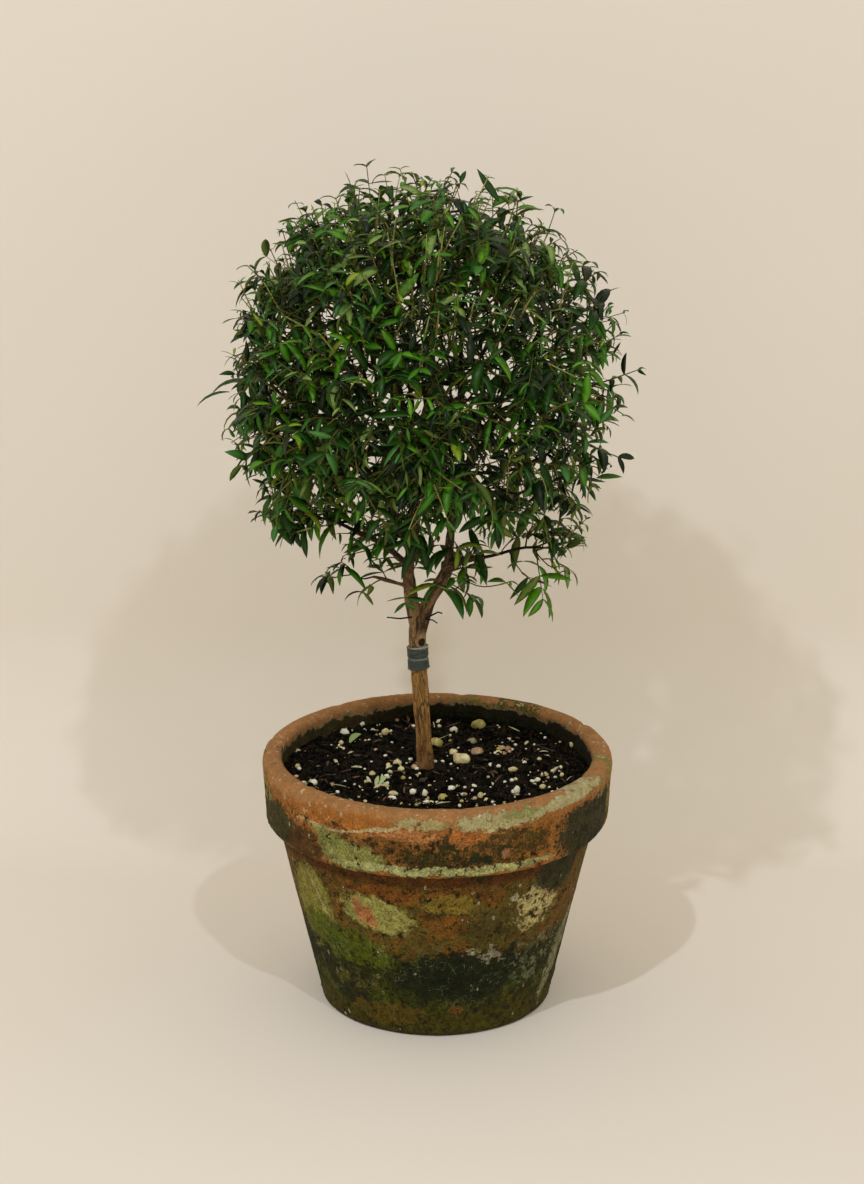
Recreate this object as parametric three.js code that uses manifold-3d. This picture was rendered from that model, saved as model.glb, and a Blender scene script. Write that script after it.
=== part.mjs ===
// Standard lollipop topiary: a small-leaved evergreen shrub trained to one bare stem under a clipped
// ball of foliage, growing in a rimmed clay pot. Millimetres, +Z up. The origin is the centre of the
// pot's flat underside.
import * as THREE from 'three';
import { mergeVertices } from 'three/addons/utils/BufferGeometryUtils.js';
import Module from 'manifold-3d';

const wasm = await Module();
wasm.setup();

// Driving dimensions
const contactGap = 0.3; // left between pieces that touch
const leafGap = 0.45; // left between a mass of leaves and its neighbours

const roundSides = 48; // facets round the pot and the soil
const pot = {
  height: 153.5,
  footRadius: 68.4,
  bodyTaper: 0.226, // how much the radius grows for each mm of height
  footRounding: 2.5,
  collarBottom: 113,
  collarRadius: 100.9,
  lipRadius: 103,
  lipRounding: 4.5,
  collarRounding: 2.2,
  mouthRadius: 90.3,
  wallRadiusAtCollar: 85,
  floorThickness: 10,
  wellRadius: 58.5,
};
const soil = {
  edgeHeight: 139.6, // 14 below the rim
  crownHeight: 143.2, // heaped a little towards the stem
  radius: 91.2,
  lumpHeight: 0.7,
  restRadius: 11, // level patch that the stem stands on
  rings: [1, 0.86, 0.68, 0.5, 0.32], // rings of facets, as shares of the radius
};

// Every limb is a list of stations [x, y, z, diameter] from its root to its tip.
const stemStations = [
  [-6.1, 0, soil.crownHeight + contactGap, 13.4],
  [-6.3, 0, 147, 10.4],
  [-7.0, 0, 157, 9.1],
  [-8.6, 0, 181, 9.4],
  [-9.9, 0, 200, 9.5],
  [-10.7, 0, 221, 9.9],
  [-10.8, 0, 230, 11.0],
  [-10.4, 0, 240, 14.2],
];
const limbs = {
  // from the left of the fork
  leader: [
    [-12.4, 0, 234, 8.6],
    [-14.8, 0.5, 251, 8.1],
    [-16.3, 1, 263, 6.9],
    [-13.2, 1.5, 279, 6.3],
    [-12.6, 2, 297, 5.7],
    [-12, 3, 330, 5.0],
  ],
  // from the leader
  bough_left_upper: [
    [-14.2, 1.4, 275, 4.6],
    [-20.5, 2.4, 288, 4.3],
    [-25, 4, 302, 4.0],
    [-28, 5, 320, 3.6],
  ],
  bough_left: [
    [-16, 1, 266, 4.2],
    [-28, 4, 277, 3.6],
    [-48, 8, 286, 3.0],
    [-70, 10, 298, 2.6],
  ],
  twig_left_low: [
    [-15.2, 0.6, 254, 2.6],
    [-26, -2, 258, 2.2],
    [-42, -4, 262.5, 1.9],
    [-54, -5, 264, 1.8],
  ],
  bough_back: [
    [-16, 1.2, 262, 4.6],
    [-16, 14, 272, 4.0],
    [-17, 38, 284, 3.4],
    [-18, 62, 300, 2.8],
  ],
  // from the right of the fork
  bough_right: [
    [-7.6, 0, 237, 8.2],
    [-2.4, -0.6, 248, 7.9],
    [4.4, -1.2, 260, 7.4],
    [8.2, -1.6, 270, 7.0],
  ],
  // from the end of the right bough
  bough_right_upper: [
    [7.2, -1.5, 267, 5.6],
    [7.6, -0.8, 279, 5.2],
    [9.4, 0, 296, 4.6],
    [12, 1, 320, 4.2],
  ],
  bough_shelf: [
    [6, -1.4, 267, 5.2],
    [16, -3.4, 271, 4.4],
    [33, -6, 275, 3.6],
    [56, -8, 279, 2.8],
  ],
};
const limbSides = 8;
const limbStep = 7; // length of one facet along a limb
const stemSides = 16;
const limbKnobs = 0.04; // unevenness of a limb's section, as a share of its radius

// Garden tie wrapped round the stem
const tie = { bottom: 204, height: 14, thickness: 1.5, bulge: 0.5, sides: 24, clearance: 0.35 };

// Clipped ball of foliage
const ballCentre = new THREE.Vector3(-6, 0, 374);
const ball = {
  radius: 117,
  detail: 10,
  lump: 2.4,
  underside: 304, // height of the bare hollow over the fork
  undersideSlope: 0.16, // the underside is higher at the front than at the back
  undersideDrop: 22, // and lower on the right
  undersideReach: 90, // how far out from the stem the underside keeps sloping
  blend: 5, // rounding of the edge between ball and underside
  waist: -0.05, // below this height on a unit ball, the underside counts
};
// Where shoots stand proud of the clipped ball, or it is clipped closer: azimuth and height angle in
// degrees, reach from the ball's centre, and the angle over which each one fades out.
const tufts = [
  { azimuth: 0, height: 76, reach: 128, spread: 12 },
  { azimuth: 180, height: 65, reach: 126.5, spread: 13 },
  { azimuth: 180, height: 25, reach: 125.5, spread: 13 },
  { azimuth: 0, height: 26, reach: 121.5, spread: 13 },
  { azimuth: 182, height: -5, reach: 131.5, spread: 8 },
  { azimuth: 180, height: -33, reach: 123, spread: 12 },
  { azimuth: 0, height: -26, reach: 111, spread: 14 },
  { azimuth: 88, height: 5, reach: 121, spread: 15 },
  { azimuth: 120, height: 60, reach: 121, spread: 15 },
  { azimuth: 60, height: -20, reach: 120, spread: 14 },
  { azimuth: 270, height: 8, reach: 121, spread: 15 },
  { azimuth: 235, height: 40, reach: 121, spread: 14 },
  { azimuth: 310, height: -12, reach: 120, spread: 14 },
];

// Loose masses that hang under the ball: centre, half-sizes, facet detail and lump height
const lowMasses = {
  foliage_shelf_right: { centre: [58, -4, 281], half: [33, 44, 20], detail: 5, lump: 3.2 },
  foliage_skirt_left: { centre: [-68, 4, 299], half: [35, 44, 15], detail: 4, lump: 2.6 },
  foliage_skirt_back: { centre: [-12, 62, 298], half: [44, 34, 19], detail: 4, lump: 2.8 },
  foliage_spray_left: { centre: [-52, -5, 262], half: [14, 9, 11], detail: 3, lump: 2.0 },
  foliage_spray_right: { centre: [29, -9, 256], half: [14, 9, 12.5], detail: 3, lump: 2.2 },
};

const finishes = {
  clay: { color: 0x9a6a3c, roughness: 0.92, metalness: 0 },
  earth: { color: 0x1c1510, roughness: 1, metalness: 0 },
  bark: { color: 0x75562f, roughness: 0.85, metalness: 0 },
  darkBark: { color: 0x4a3420, roughness: 0.85, metalness: 0 },
  tieTape: { color: 0x55605a, roughness: 0.5, metalness: 0 },
  leaf: { color: 0x2f5a24, roughness: 0.6, metalness: 0 },
  deepLeaf: { color: 0x24452a, roughness: 0.6, metalness: 0 },
};

// A smooth, repeatable unevenness between -1 and 1, from the direction of a point
function unevenness(direction, waves, seed) {
  const { x, y, z } = direction;
  const a = Math.sin(waves * x + 2.1 * seed + 1.7 * Math.sin(waves * 0.8 * z + seed));
  const b = Math.sin(waves * 1.3 * y - 1.3 * seed + 1.4 * Math.sin(waves * 0.7 * x - seed));
  const c = Math.sin(waves * 1.1 * z + 0.7 * seed + 1.5 * Math.sin(waves * 0.9 * y + 2 * seed));
  return (a + b + c) / 3;
}

function closedGeometry(geometry) {
  geometry.deleteAttribute('normal');
  geometry.deleteAttribute('uv');
  return mergeVertices(geometry, 1e-4);
}

function toSolid(geometry) {
  const merged = closedGeometry(geometry);
  return new wasm.Manifold(new wasm.Mesh({
    numProp: 3,
    vertProperties: new Float32Array(merged.attributes.position.array),
    triVerts: new Uint32Array(merged.index.array),
  }));
}

function toGeometry(solid) {
  const mesh = solid.getMesh();
  const geometry = new THREE.BufferGeometry();
  geometry.setAttribute('position', new THREE.BufferAttribute(mesh.vertProperties, 3));
  geometry.setIndex(new THREE.BufferAttribute(mesh.triVerts, 1));
  geometry.computeVertexNormals();
  return geometry;
}

// The largest single body of a solid
function largestBody(solid) {
  return solid.decompose().reduce((best, body) => (body.volume() > best.volume() ? body : best));
}

// A profile turned round the Z axis
function turned(profile, sides) {
  const geometry = new THREE.LatheGeometry(profile, sides);
  geometry.rotateX(Math.PI / 2);
  return geometry;
}

// Points of a quarter-round or half-round edge in a profile
function arcPoints(centreR, centreZ, radius, fromDegrees, toDegrees, count) {
  return Array.from({ length: count }, (_, i) => {
    const degrees = THREE.MathUtils.lerp(fromDegrees, toDegrees, i / (count - 1));
    const angle = THREE.MathUtils.degToRad(degrees);
    return new THREE.Vector2(centreR + radius * Math.cos(angle), centreZ + radius * Math.sin(angle));
  });
}

function potGeometry() {
  const bodyRadius = (z) => pot.footRadius + pot.bodyTaper * z;
  const lipCentre = pot.height - pot.lipRounding;
  const profile = [
    new THREE.Vector2(0, 0),
    ...arcPoints(pot.footRadius - pot.footRounding, pot.footRounding, pot.footRounding, -90, 0, 3),
    new THREE.Vector2(bodyRadius(pot.collarBottom), pot.collarBottom),
    ...arcPoints(
      pot.collarRadius - pot.collarRounding,
      pot.collarBottom + pot.collarRounding,
      pot.collarRounding, -90, 0, 3,
    ),
    ...arcPoints(pot.lipRadius - pot.lipRounding, lipCentre, pot.lipRounding, 0, 90, 4),
    ...arcPoints(pot.mouthRadius + pot.lipRounding, lipCentre, pot.lipRounding, 90, 180, 4),
    new THREE.Vector2(soil.radius + contactGap, soil.edgeHeight),
    new THREE.Vector2(pot.wallRadiusAtCollar + contactGap, pot.collarBottom),
    new THREE.Vector2(pot.wellRadius + contactGap, pot.floorThickness),
    new THREE.Vector2(0, pot.floorThickness),
  ];
  return turned(profile, roundSides);
}

// Height of the soil at a distance from the pot's axis, before its lumps
function soilHeight(x, y) {
  const share = Math.min(1, Math.hypot(x, y) / soil.radius);
  return soil.edgeHeight + (soil.crownHeight - soil.edgeHeight) * (1 - share * share);
}

function soilGeometry() {
  const bottom = pot.floorThickness + contactGap;
  const profile = [
    new THREE.Vector2(0, bottom),
    new THREE.Vector2(pot.wellRadius, bottom),
    new THREE.Vector2(pot.wallRadiusAtCollar, pot.collarBottom),
    ...soil.rings.map((share) => new THREE.Vector2(soil.radius * share, soil.edgeHeight)),
    new THREE.Vector2(0, soil.edgeHeight),
  ];
  const geometry = turned(profile, roundSides);
  const position = geometry.attributes.position;
  const foot = stemStations[0];
  for (let i = 0; i < position.count; i += 1) {
    const x = position.getX(i);
    const y = position.getY(i);
    const onTop = position.getZ(i) > pot.collarBottom + 1;
    const onRim = Math.hypot(x, y) > soil.radius - 1;
    if (onTop && !onRim) {
      const fromStem = Math.hypot(x - foot[0], y - foot[1]);
      const fade = THREE.MathUtils.smoothstep(fromStem, soil.restRadius, 2 * soil.restRadius);
      const direction = new THREE.Vector3(x, y, 0).divideScalar(soil.radius);
      const lump = soil.lumpHeight * unevenness(direction, 9, 1.3) - soil.lumpHeight;
      position.setZ(i, soilHeight(x, y) * fade + soil.crownHeight * (1 - fade) + lump * fade);
    }
  }
  return geometry;
}

// A round bar bent along a smooth curve through the stations, with their diameters between them.
// The section is a little uneven, as a grown limb is. A sleeve is how much wider and longer to make it.
function limbGeometry(stations, sides, sleeve = 0) {
  const curve = new THREE.CatmullRomCurve3(
    stations.map(([x, y, z]) => new THREE.Vector3(x, y, z)), false, 'centripetal',
  );
  const steps = Math.max(4, Math.round(curve.getLength() / limbStep));
  const geometry = new THREE.CylinderGeometry(1, 1, 1, sides, steps);
  const position = geometry.attributes.position;
  const across = new THREE.Vector3();
  const point = new THREE.Vector3();
  for (let i = 0; i < position.count; i += 1) {
    const along = THREE.MathUtils.clamp(position.getY(i) + 0.5, 0, 1);
    const tangent = curve.getTangent(along);
    const side = new THREE.Vector3(0, 1, 0).cross(tangent).normalize();
    const front = tangent.clone().cross(side);
    const station = along * (stations.length - 1);
    const before = Math.min(stations.length - 2, Math.floor(station));
    const diameter = THREE.MathUtils.lerp(stations[before][3], stations[before + 1][3], station - before);
    across.set(0, 0, 0).addScaledVector(side, position.getX(i)).addScaledVector(front, -position.getZ(i));
    const knobs = 1 + limbKnobs * unevenness(across, 3, along * 7);
    const pastEnd = sleeve * (Math.floor(along) - Math.floor(1 - along));
    point.copy(curve.getPoint(along)).addScaledVector(across, (diameter / 2) * knobs + sleeve);
    point.addScaledVector(tangent, pastEnd);
    position.setXYZ(i, point.x, point.y, point.z);
  }
  return geometry;
}

// The stem: cut flat at the soil, flared into its root collar
function trunkSolid(sleeve = 0) {
  const solid = toSolid(limbGeometry(stemStations, stemSides, sleeve));
  return solid.trimByPlane([0, 0, 1], stemStations[0][2] - sleeve);
}

function tieGeometry() {
  const outline = stemStations.map(([x, , z, diameter]) => ({ x, z, diameter }));
  const middle = tie.bottom + tie.height / 2;
  const above = outline.findIndex((station) => station.z > middle);
  const [low, high] = [outline[above - 1], outline[above]];
  const share = (middle - low.z) / (high.z - low.z);
  const inner = THREE.MathUtils.lerp(low.diameter, high.diameter, share) / 2 + tie.clearance;
  const outer = inner + tie.thickness;
  const half = tie.height / 2;
  const profile = [
    new THREE.Vector2(inner, -half),
    new THREE.Vector2(outer, -half),
    new THREE.Vector2(outer + tie.bulge, -half * 0.5),
    new THREE.Vector2(outer, 0),
    new THREE.Vector2(outer + tie.bulge, half * 0.5),
    new THREE.Vector2(outer, half),
    new THREE.Vector2(inner, half),
    new THREE.Vector2(inner, -half),
  ];
  const geometry = turned(profile, tie.sides);
  geometry.rotateY(Math.atan2(high.x - low.x, high.z - low.z));
  geometry.translate(THREE.MathUtils.lerp(low.x, high.x, share), 0, middle);
  return geometry;
}

// The ball's surface in one direction from its centre: the clipped round, its lumps and shoots,
// cut off below by an underside that is higher at the front and drops to the right.
function ballReach(direction) {
  let reach = ball.radius + ball.lump * unevenness(direction, 9, 0.4);
  for (const tuft of tufts) {
    const azimuth = THREE.MathUtils.degToRad(tuft.azimuth);
    const height = THREE.MathUtils.degToRad(tuft.height);
    const aim = new THREE.Vector3(
      Math.cos(azimuth) * Math.cos(height),
      Math.sin(azimuth) * Math.cos(height),
      Math.sin(height),
    );
    const off = THREE.MathUtils.radToDeg(direction.angleTo(aim)) / tuft.spread;
    reach += (tuft.reach - ball.radius) * Math.exp(-off * off * 2);
  }
  if (direction.z > ball.waist) return reach;
  const level = ballCentre.z - ball.underside;
  const out = { x: (direction.x * level) / -direction.z, y: (direction.y * level) / -direction.z };
  const drop = ball.undersideDrop * THREE.MathUtils.smoothstep(out.x, 0, ball.undersideReach);
  const backward = THREE.MathUtils.clamp(out.y, -ball.undersideReach, ball.undersideReach);
  const floor = ball.underside - drop - ball.undersideSlope * backward;
  const cut = (ballCentre.z - floor) / -direction.z;
  const soft = Math.exp(-reach / ball.blend) + Math.exp(-cut / ball.blend);
  return -ball.blend * Math.log(soft);
}

function foliageGeometry(centre, half, detail, reachIn) {
  const geometry = new THREE.IcosahedronGeometry(1, detail);
  const merged = closedGeometry(geometry);
  const position = merged.attributes.position;
  const direction = new THREE.Vector3();
  for (let i = 0; i < position.count; i += 1) {
    direction.fromBufferAttribute(position, i).normalize();
    const reach = reachIn(direction);
    position.setXYZ(
      i,
      centre[0] + direction.x * half[0] * reach,
      centre[1] + direction.y * half[1] * reach,
      centre[2] + direction.z * half[2] * reach,
    );
  }
  return merged;
}

function ballSolid(sleeve = 0) {
  const reachIn = (direction) => ballReach(direction) + sleeve;
  return toSolid(foliageGeometry(ballCentre.toArray(), [1, 1, 1], ball.detail, reachIn));
}

function lowMassSolid(mass, seed, sleeve = 0) {
  const size = Math.min(...mass.half);
  const reachIn = (direction) => 1 + (mass.lump * unevenness(direction, 4, seed) + sleeve) / size;
  return toSolid(foliageGeometry(mass.centre, mass.half, mass.detail, reachIn));
}

const assembly = new THREE.Group();
function place(name, geometry, finish) {
  geometry.computeVertexNormals();
  const mesh = new THREE.Mesh(geometry, new THREE.MeshStandardMaterial(finishes[finish]));
  mesh.name = name;
  assembly.add(mesh);
}

place('pot', potGeometry(), 'clay');
place('soil', soilGeometry(), 'earth');
place('trunk', toGeometry(trunkSolid()), 'bark');
place('tie', tieGeometry(), 'tieTape');

// The ball first, then the low masses cut back from it and from each other
const masses = [{ name: 'foliage_ball', solid: ballSolid(), sleeve: ballSolid(leafGap), finish: 'leaf' }];
Object.entries(lowMasses).forEach(([name, mass], index) => {
  const seed = index + 2;
  const cut = masses.reduce((solid, other) => solid.subtract(other.sleeve), lowMassSolid(mass, seed));
  const sleeve = lowMassSolid(mass, seed, leafGap);
  masses.push({ name, solid: largestBody(cut), sleeve, finish: 'deepLeaf' });
});

// Each limb is cut clear of the limbs before it, and ends where it enters a mass of leaves
const sleeves = { trunk: trunkSolid(contactGap) };
const limbSolids = [];
for (const [name, stations] of Object.entries(limbs)) {
  let solid = toSolid(limbGeometry(stations, limbSides));
  for (const sleeve of Object.values(sleeves)) solid = solid.subtract(sleeve);
  for (const mass of masses) solid = solid.subtract(mass.sleeve);
  limbSolids.push({ name, solid: largestBody(solid) });
  sleeves[name] = toSolid(limbGeometry(stations, limbSides, contactGap));
}

for (const { name, solid } of limbSolids) place(name, toGeometry(solid), 'darkBark');
for (const { name, solid, finish } of masses) place(name, toGeometry(solid), finish);

export default assembly;
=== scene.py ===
# A standard lollipop topiary: a small-leaved evergreen trained to one stem under a clipped ball, in a
# weathered clay pot. Sizes in the settings are millimetres and degrees; the meshes are in metres.
import itertools
import math

import bmesh
import bpy
import numpy as np
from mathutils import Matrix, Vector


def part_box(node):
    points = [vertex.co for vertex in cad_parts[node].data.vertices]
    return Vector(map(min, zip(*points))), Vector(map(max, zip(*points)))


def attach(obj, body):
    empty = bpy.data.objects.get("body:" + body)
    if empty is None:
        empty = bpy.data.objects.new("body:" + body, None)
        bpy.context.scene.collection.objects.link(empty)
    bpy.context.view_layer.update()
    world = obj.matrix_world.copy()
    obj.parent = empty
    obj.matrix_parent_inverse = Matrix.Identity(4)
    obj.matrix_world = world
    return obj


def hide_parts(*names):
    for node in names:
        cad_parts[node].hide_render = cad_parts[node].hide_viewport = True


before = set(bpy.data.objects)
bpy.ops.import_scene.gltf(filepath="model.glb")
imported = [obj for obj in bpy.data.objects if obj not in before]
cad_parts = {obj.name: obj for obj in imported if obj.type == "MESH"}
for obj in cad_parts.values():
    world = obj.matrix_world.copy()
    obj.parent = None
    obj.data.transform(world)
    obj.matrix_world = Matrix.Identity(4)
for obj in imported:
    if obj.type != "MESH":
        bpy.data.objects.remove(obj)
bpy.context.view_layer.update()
mm = 0.001
batch = 2000  # how many points are compared with a whole mesh at once
print("stage 1: frame loaded,", len(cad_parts), "nodes")


def unit(vectors):
    return vectors / np.maximum(np.linalg.norm(vectors, axis=-1, keepdims=True), 1e-12)


def ease(value, low, high):
    # 0 below low, 1 above high, and a smooth step between them
    share = np.clip((value - low) / (high - low), 0, 1)
    return share * share * (3 - 2 * share)


def latticeNumber(corner, seed):
    # a repeatable number from 0 to 1 for each corner of a lattice, mixed up from its three indices
    mixed = corner[:, 0] * 73856093 ^ corner[:, 1] * 19349663 ^ corner[:, 2] * 83492791 ^ seed * 9176263
    mixed = (mixed ^ (mixed >> 13)) * 1274126177 & 0x7FFFFFFF
    return ((mixed ^ (mixed >> 15)) & 0xFFFFF) / 0xFFFFF


def cloud(points, size, seed=0, layers=1):
    # value noise from -1 to 1: lattice numbers blended by smooth steps across cells of one size, plus
    # further layers that are each half as wide and half as strong
    total = np.zeros(len(points))
    for layer in range(layers):
        place = points * (2 ** layer / size) + 61.7 + 17 * layer
        corner = np.floor(place).astype(np.int64)
        share = place - corner
        share = share * share * (3 - 2 * share)
        value = np.zeros(len(points))
        for step in itertools.product((0, 1), repeat=3):
            weight = np.prod(np.where(step, share, 1 - share), axis=1)
            value += weight * latticeNumber(corner + step, seed + layer)
        total += (2 * value - 1) / 2 ** layer
    return total / (2 - 0.5 ** (layers - 1))


def makePiece(name, shape, materials, kinds=None, sharpAngle=None):
    # puts a shape's points, in mm, with its quads and triangles into one smooth mesh object at the origin
    points, quads, triangles = shape
    quads = np.reshape(quads, (-1, 4)).astype(np.int32)
    triangles = np.reshape(triangles, (-1, 3)).astype(np.int32)
    corners = np.concatenate([quads.ravel(), triangles.ravel()])
    starts = np.concatenate([np.arange(len(quads)) * 4, len(quads) * 4 + np.arange(len(triangles)) * 3])
    mesh = bpy.data.meshes.new(name)
    mesh.vertices.add(len(points))
    mesh.vertices.foreach_set("co", np.ravel(points * mm).astype(np.float32))
    mesh.loops.add(len(corners))
    mesh.loops.foreach_set("vertex_index", corners)
    mesh.polygons.add(len(starts))
    mesh.polygons.foreach_set("loop_start", starts.astype(np.int32))
    for material in materials:
        mesh.materials.append(material)
    if kinds is not None:
        mesh.polygons.foreach_set("material_index", kinds.astype(np.int32))
    mesh.update(calc_edges=True)
    mesh.shade_smooth()
    if sharpAngle is not None:
        mesh.set_sharp_from_angle(angle=math.radians(sharpAngle))
    piece = bpy.data.objects.new(name, mesh)
    bpy.context.scene.collection.objects.link(piece)
    return piece


def gridQuads(rows, columns, wrap=True):
    # the quads of a grid stored row by row, closed round its columns if it wraps
    across = np.arange(columns if wrap else columns - 1)
    start = np.arange(rows - 1)[:, None] * columns
    here = start + across
    beside = start + (across + 1) % columns
    return np.stack([here, beside, beside + columns, here + columns], axis=-1).reshape(-1, 4)


def capTriangles(ring, pole, inward=False):
    # a fan from a ring of point numbers to one pole
    fan = np.stack([ring, np.roll(ring, -1), np.full(len(ring), pole)], axis=-1)
    return fan[:, ::-1] if inward else fan


def endFans(count, sides):
    # the faces that close both ends of a grid of rings; the two poles are numbered after its points
    first = capTriangles(np.arange(sides), count, inward=True)
    return np.concatenate([first, capTriangles(np.arange(count - sides, count), count + 1)])


def arcOf(centreR, centreZ, radius, fromAngle, toAngle, count):
    # part of a circle in a profile: the centre plus the radius times (cos, sin) of each angle
    angle = np.radians(np.linspace(fromAngle, toAngle, count))
    return np.stack([centreR + radius * np.cos(angle), centreZ + radius * np.sin(angle)], axis=-1)


def resample(line, step):
    # points at even steps along a line
    length = np.concatenate([[0], np.cumsum(np.linalg.norm(np.diff(line, axis=0), axis=1))])
    places = np.linspace(0, length[-1], max(2, int(round(length[-1] / step)) + 1))
    return np.stack([np.interp(places, length, line[:, k]) for k in range(line.shape[1])], axis=-1)


def turned(profile, sides):
    # a profile of (radius, height) turned round the axis, row by row: (r sin a, -r cos a, z), with each
    # point's outward normal and its azimuth a in degrees
    tangent = unit(np.gradient(profile, axis=0))
    angle = np.arange(sides) * 2 * np.pi / sides
    ring = np.stack([np.sin(angle), -np.cos(angle)], axis=-1)
    points = np.zeros((len(profile), sides, 3))
    points[..., :2] = profile[:, 0][:, None, None] * ring
    points[..., 2] = profile[:, 1][:, None]
    normal = np.zeros_like(points)
    normal[..., :2] = tangent[:, 1][:, None, None] * ring
    normal[..., 2] = -tangent[:, 0][:, None]
    return points.reshape(-1, 3), normal.reshape(-1, 3), np.tile(np.degrees(angle), len(profile))


def closeTurned(points, sides, lowPole, highPole):
    # the faces of a turned grid, with a pole on the axis under its first row and over its last
    count = len(points)
    points = np.concatenate([points, [[0, 0, lowPole], [0, 0, highPole]]])
    return points, gridQuads(count // sides, sides), endFans(count, sides)


def ringsRound(middles, side, front, radii, sides):
    # a ring round each middle point: the point plus its radius times (cos a * side + sin a * front)
    angle = np.arange(sides) * 2 * np.pi / sides
    ring = np.cos(angle)[None, :, None] * side[:, None] + np.sin(angle)[None, :, None] * front[:, None]
    return middles[:, None] + radii[:, None, None] * ring


def tube(line, radii, sides):
    # rings round a line, with both ends closed by a point
    tangent = unit(np.gradient(line, axis=0))
    axis = np.eye(3)[np.argmin(np.abs(tangent.mean(0)))]
    side = unit(np.cross(tangent, axis))
    points = ringsRound(line, side, np.cross(tangent, side), radii, sides)
    ends = np.stack([line[0] - tangent[0] * radii[0] * 0.5, line[-1] + tangent[-1] * radii[-1] * 0.5])
    points = np.concatenate([points.reshape(-1, 3), ends])
    return points, gridQuads(len(line), sides), endFans(len(line) * sides, sides)


def joined(parts):
    # several (points, quads, triangles) as one
    offset = np.cumsum([0] + [len(part[0]) for part in parts])
    points = np.concatenate([part[0] for part in parts])
    quads = np.concatenate([np.reshape(part[1], (-1, 4)) + o for part, o in zip(parts, offset)])
    triangles = np.concatenate([np.reshape(part[2], (-1, 3)) + o for part, o in zip(parts, offset)])
    return points, quads, triangles


def readArray(items, field, kind=np.float32):
    # one field of three numbers of many mesh items
    flat = np.zeros(len(items) * 3, kind)
    items.foreach_get(field, flat)
    return flat.reshape(-1, 3)


def finishPiece(piece, slot, *nodes):
    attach(piece, "root")
    if nodes:
        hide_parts(*nodes)


def srgb(red, green, blue):
    # a colour as it looks on screen, from 0 to 255, made linear
    values = np.array([red, green, blue]) / 255
    linear = np.where(values <= 0.04045, values / 12.92, ((values + 0.055) / 1.055) ** 2.4)
    return (*linear.tolist(), 1.0)


def plainMaterials(colours, **look):
    return [newMaterial(name, Base_Color=srgb(*colour), **look)[0] for name, colour in colours.items()]


class Wire:
    # one output of a node; arithmetic on it makes Math nodes
    def __init__(self, tree, socket):
        self.tree, self.socket = tree, socket

    def math(self, operation, other=0.0):
        return addNode(self.tree, "ShaderNodeMath", {0: self, 1: other}, operation=operation)[0]

    def __add__(self, other):
        return self.math("ADD", other)

    def __sub__(self, other):
        return self.math("SUBTRACT", other)

    def __mul__(self, other):
        return self.math("MULTIPLY", other)

    def __truediv__(self, other):
        return self.math("DIVIDE", other)

    def __rtruediv__(self, other):
        return addNode(self.tree, "ShaderNodeMath", {0: other, 1: self}, operation="DIVIDE")[0]

    def __abs__(self):
        return self.math("ABSOLUTE")

    def ease(self, low, high, least=0.0, most=1.0):
        # least up to low, most from high on, and a smooth step between them
        return addNode(self.tree, "ShaderNodeMapRange", {
            "Value": self, "From Min": low, "From Max": high, "To Min": least, "To Max": most,
        }, interpolation_type="SMOOTHSTEP")[0]

    def noise(self, size, detail=3.0, roughness=0.55, distortion=0.0, outlet=0):
        # noise at this place, with waves about as wide as size
        return addNode(self.tree, "ShaderNodeTexNoise", {
            "Vector": self, "Scale": 1 / size, "Detail": detail, "Roughness": roughness,
            "Distortion": distortion})[outlet]

    def stretched(self, scale, shift=(0, 0, 0)):
        return addNode(self.tree, "ShaderNodeMapping", {"Vector": self, "Scale": scale, "Location": shift})[0]

    def between(self, first, second):
        # a colour that this share blends from the first to the second
        return mixColour(self.tree, self, srgb(*first), srgb(*second))

    def painted(self, mask, paint, strength=1.0):
        # this colour, painted over where the mask is 1
        share = mask if strength == 1.0 else mask * strength
        return mixColour(self.tree, share, self, paint if isinstance(paint, Wire) else srgb(*paint))


class Outlets:
    # a node's outputs as Wires, by name or number
    def __init__(self, tree, node):
        self.tree, self.node = tree, node

    def __getitem__(self, outlet):
        return Wire(self.tree, self.node.outputs[outlet])


def feed(tree, node, sockets):
    # links Wires to a node's inputs and sets its other inputs to plain values
    for name, value in sockets.items():
        if isinstance(value, Wire):
            tree.links.new(value.socket, node.inputs[name])
        else:
            node.inputs[name].default_value = value


def addNode(tree, kind, sockets=None, **options):
    node = tree.nodes.new(kind)
    for option, value in options.items():
        setattr(node, option, value)
    feed(tree, node, sockets or {})
    return Outlets(tree, node)


def mixColour(tree, share, first, second, mode="MIX"):
    return addNode(tree, "ShaderNodeMix", {0: share, 6: first, 7: second}, data_type="RGBA",
                   blend_type=mode)[2]


def objectPlace(tree):
    return addNode(tree, "ShaderNodeTexCoord")["Object"]


def axesOf(place):
    return addNode(place.tree, "ShaderNodeSeparateXYZ", {0: place})


def bumped(height, strength, distance):
    return addNode(height.tree, "ShaderNodeBump", {
        "Height": height, "Strength": strength, "Distance": distance})[0]


def newMaterial(name, **constants):
    # a material with one Principled shader, its constants set on the shader's own sockets
    material = bpy.data.materials.new(name)
    material.use_nodes = True
    shader = material.node_tree.nodes["Principled BSDF"]
    feed(material.node_tree, shader, {key.replace("_", " "): value for key, value in constants.items()})
    return material, material.node_tree, shader


def newGroup(name, inputs, outputs):
    # a shader node group; an input's default is a number, or None for a vector, and it gives out numbers
    group = bpy.data.node_groups.new(name, "ShaderNodeTree")
    for socketName, default in inputs.items():
        kind = "NodeSocketVector" if default is None else "NodeSocketFloat"
        socket = group.interface.new_socket(socketName, in_out="INPUT", socket_type=kind)
        if default is not None:
            socket.default_value = default
    for socketName in outputs:
        group.interface.new_socket(socketName, in_out="OUTPUT", socket_type="NodeSocketFloat")
    given = Outlets(group, group.nodes.new("NodeGroupInput"))
    return group, given, group.nodes.new("NodeGroupOutput")


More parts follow.
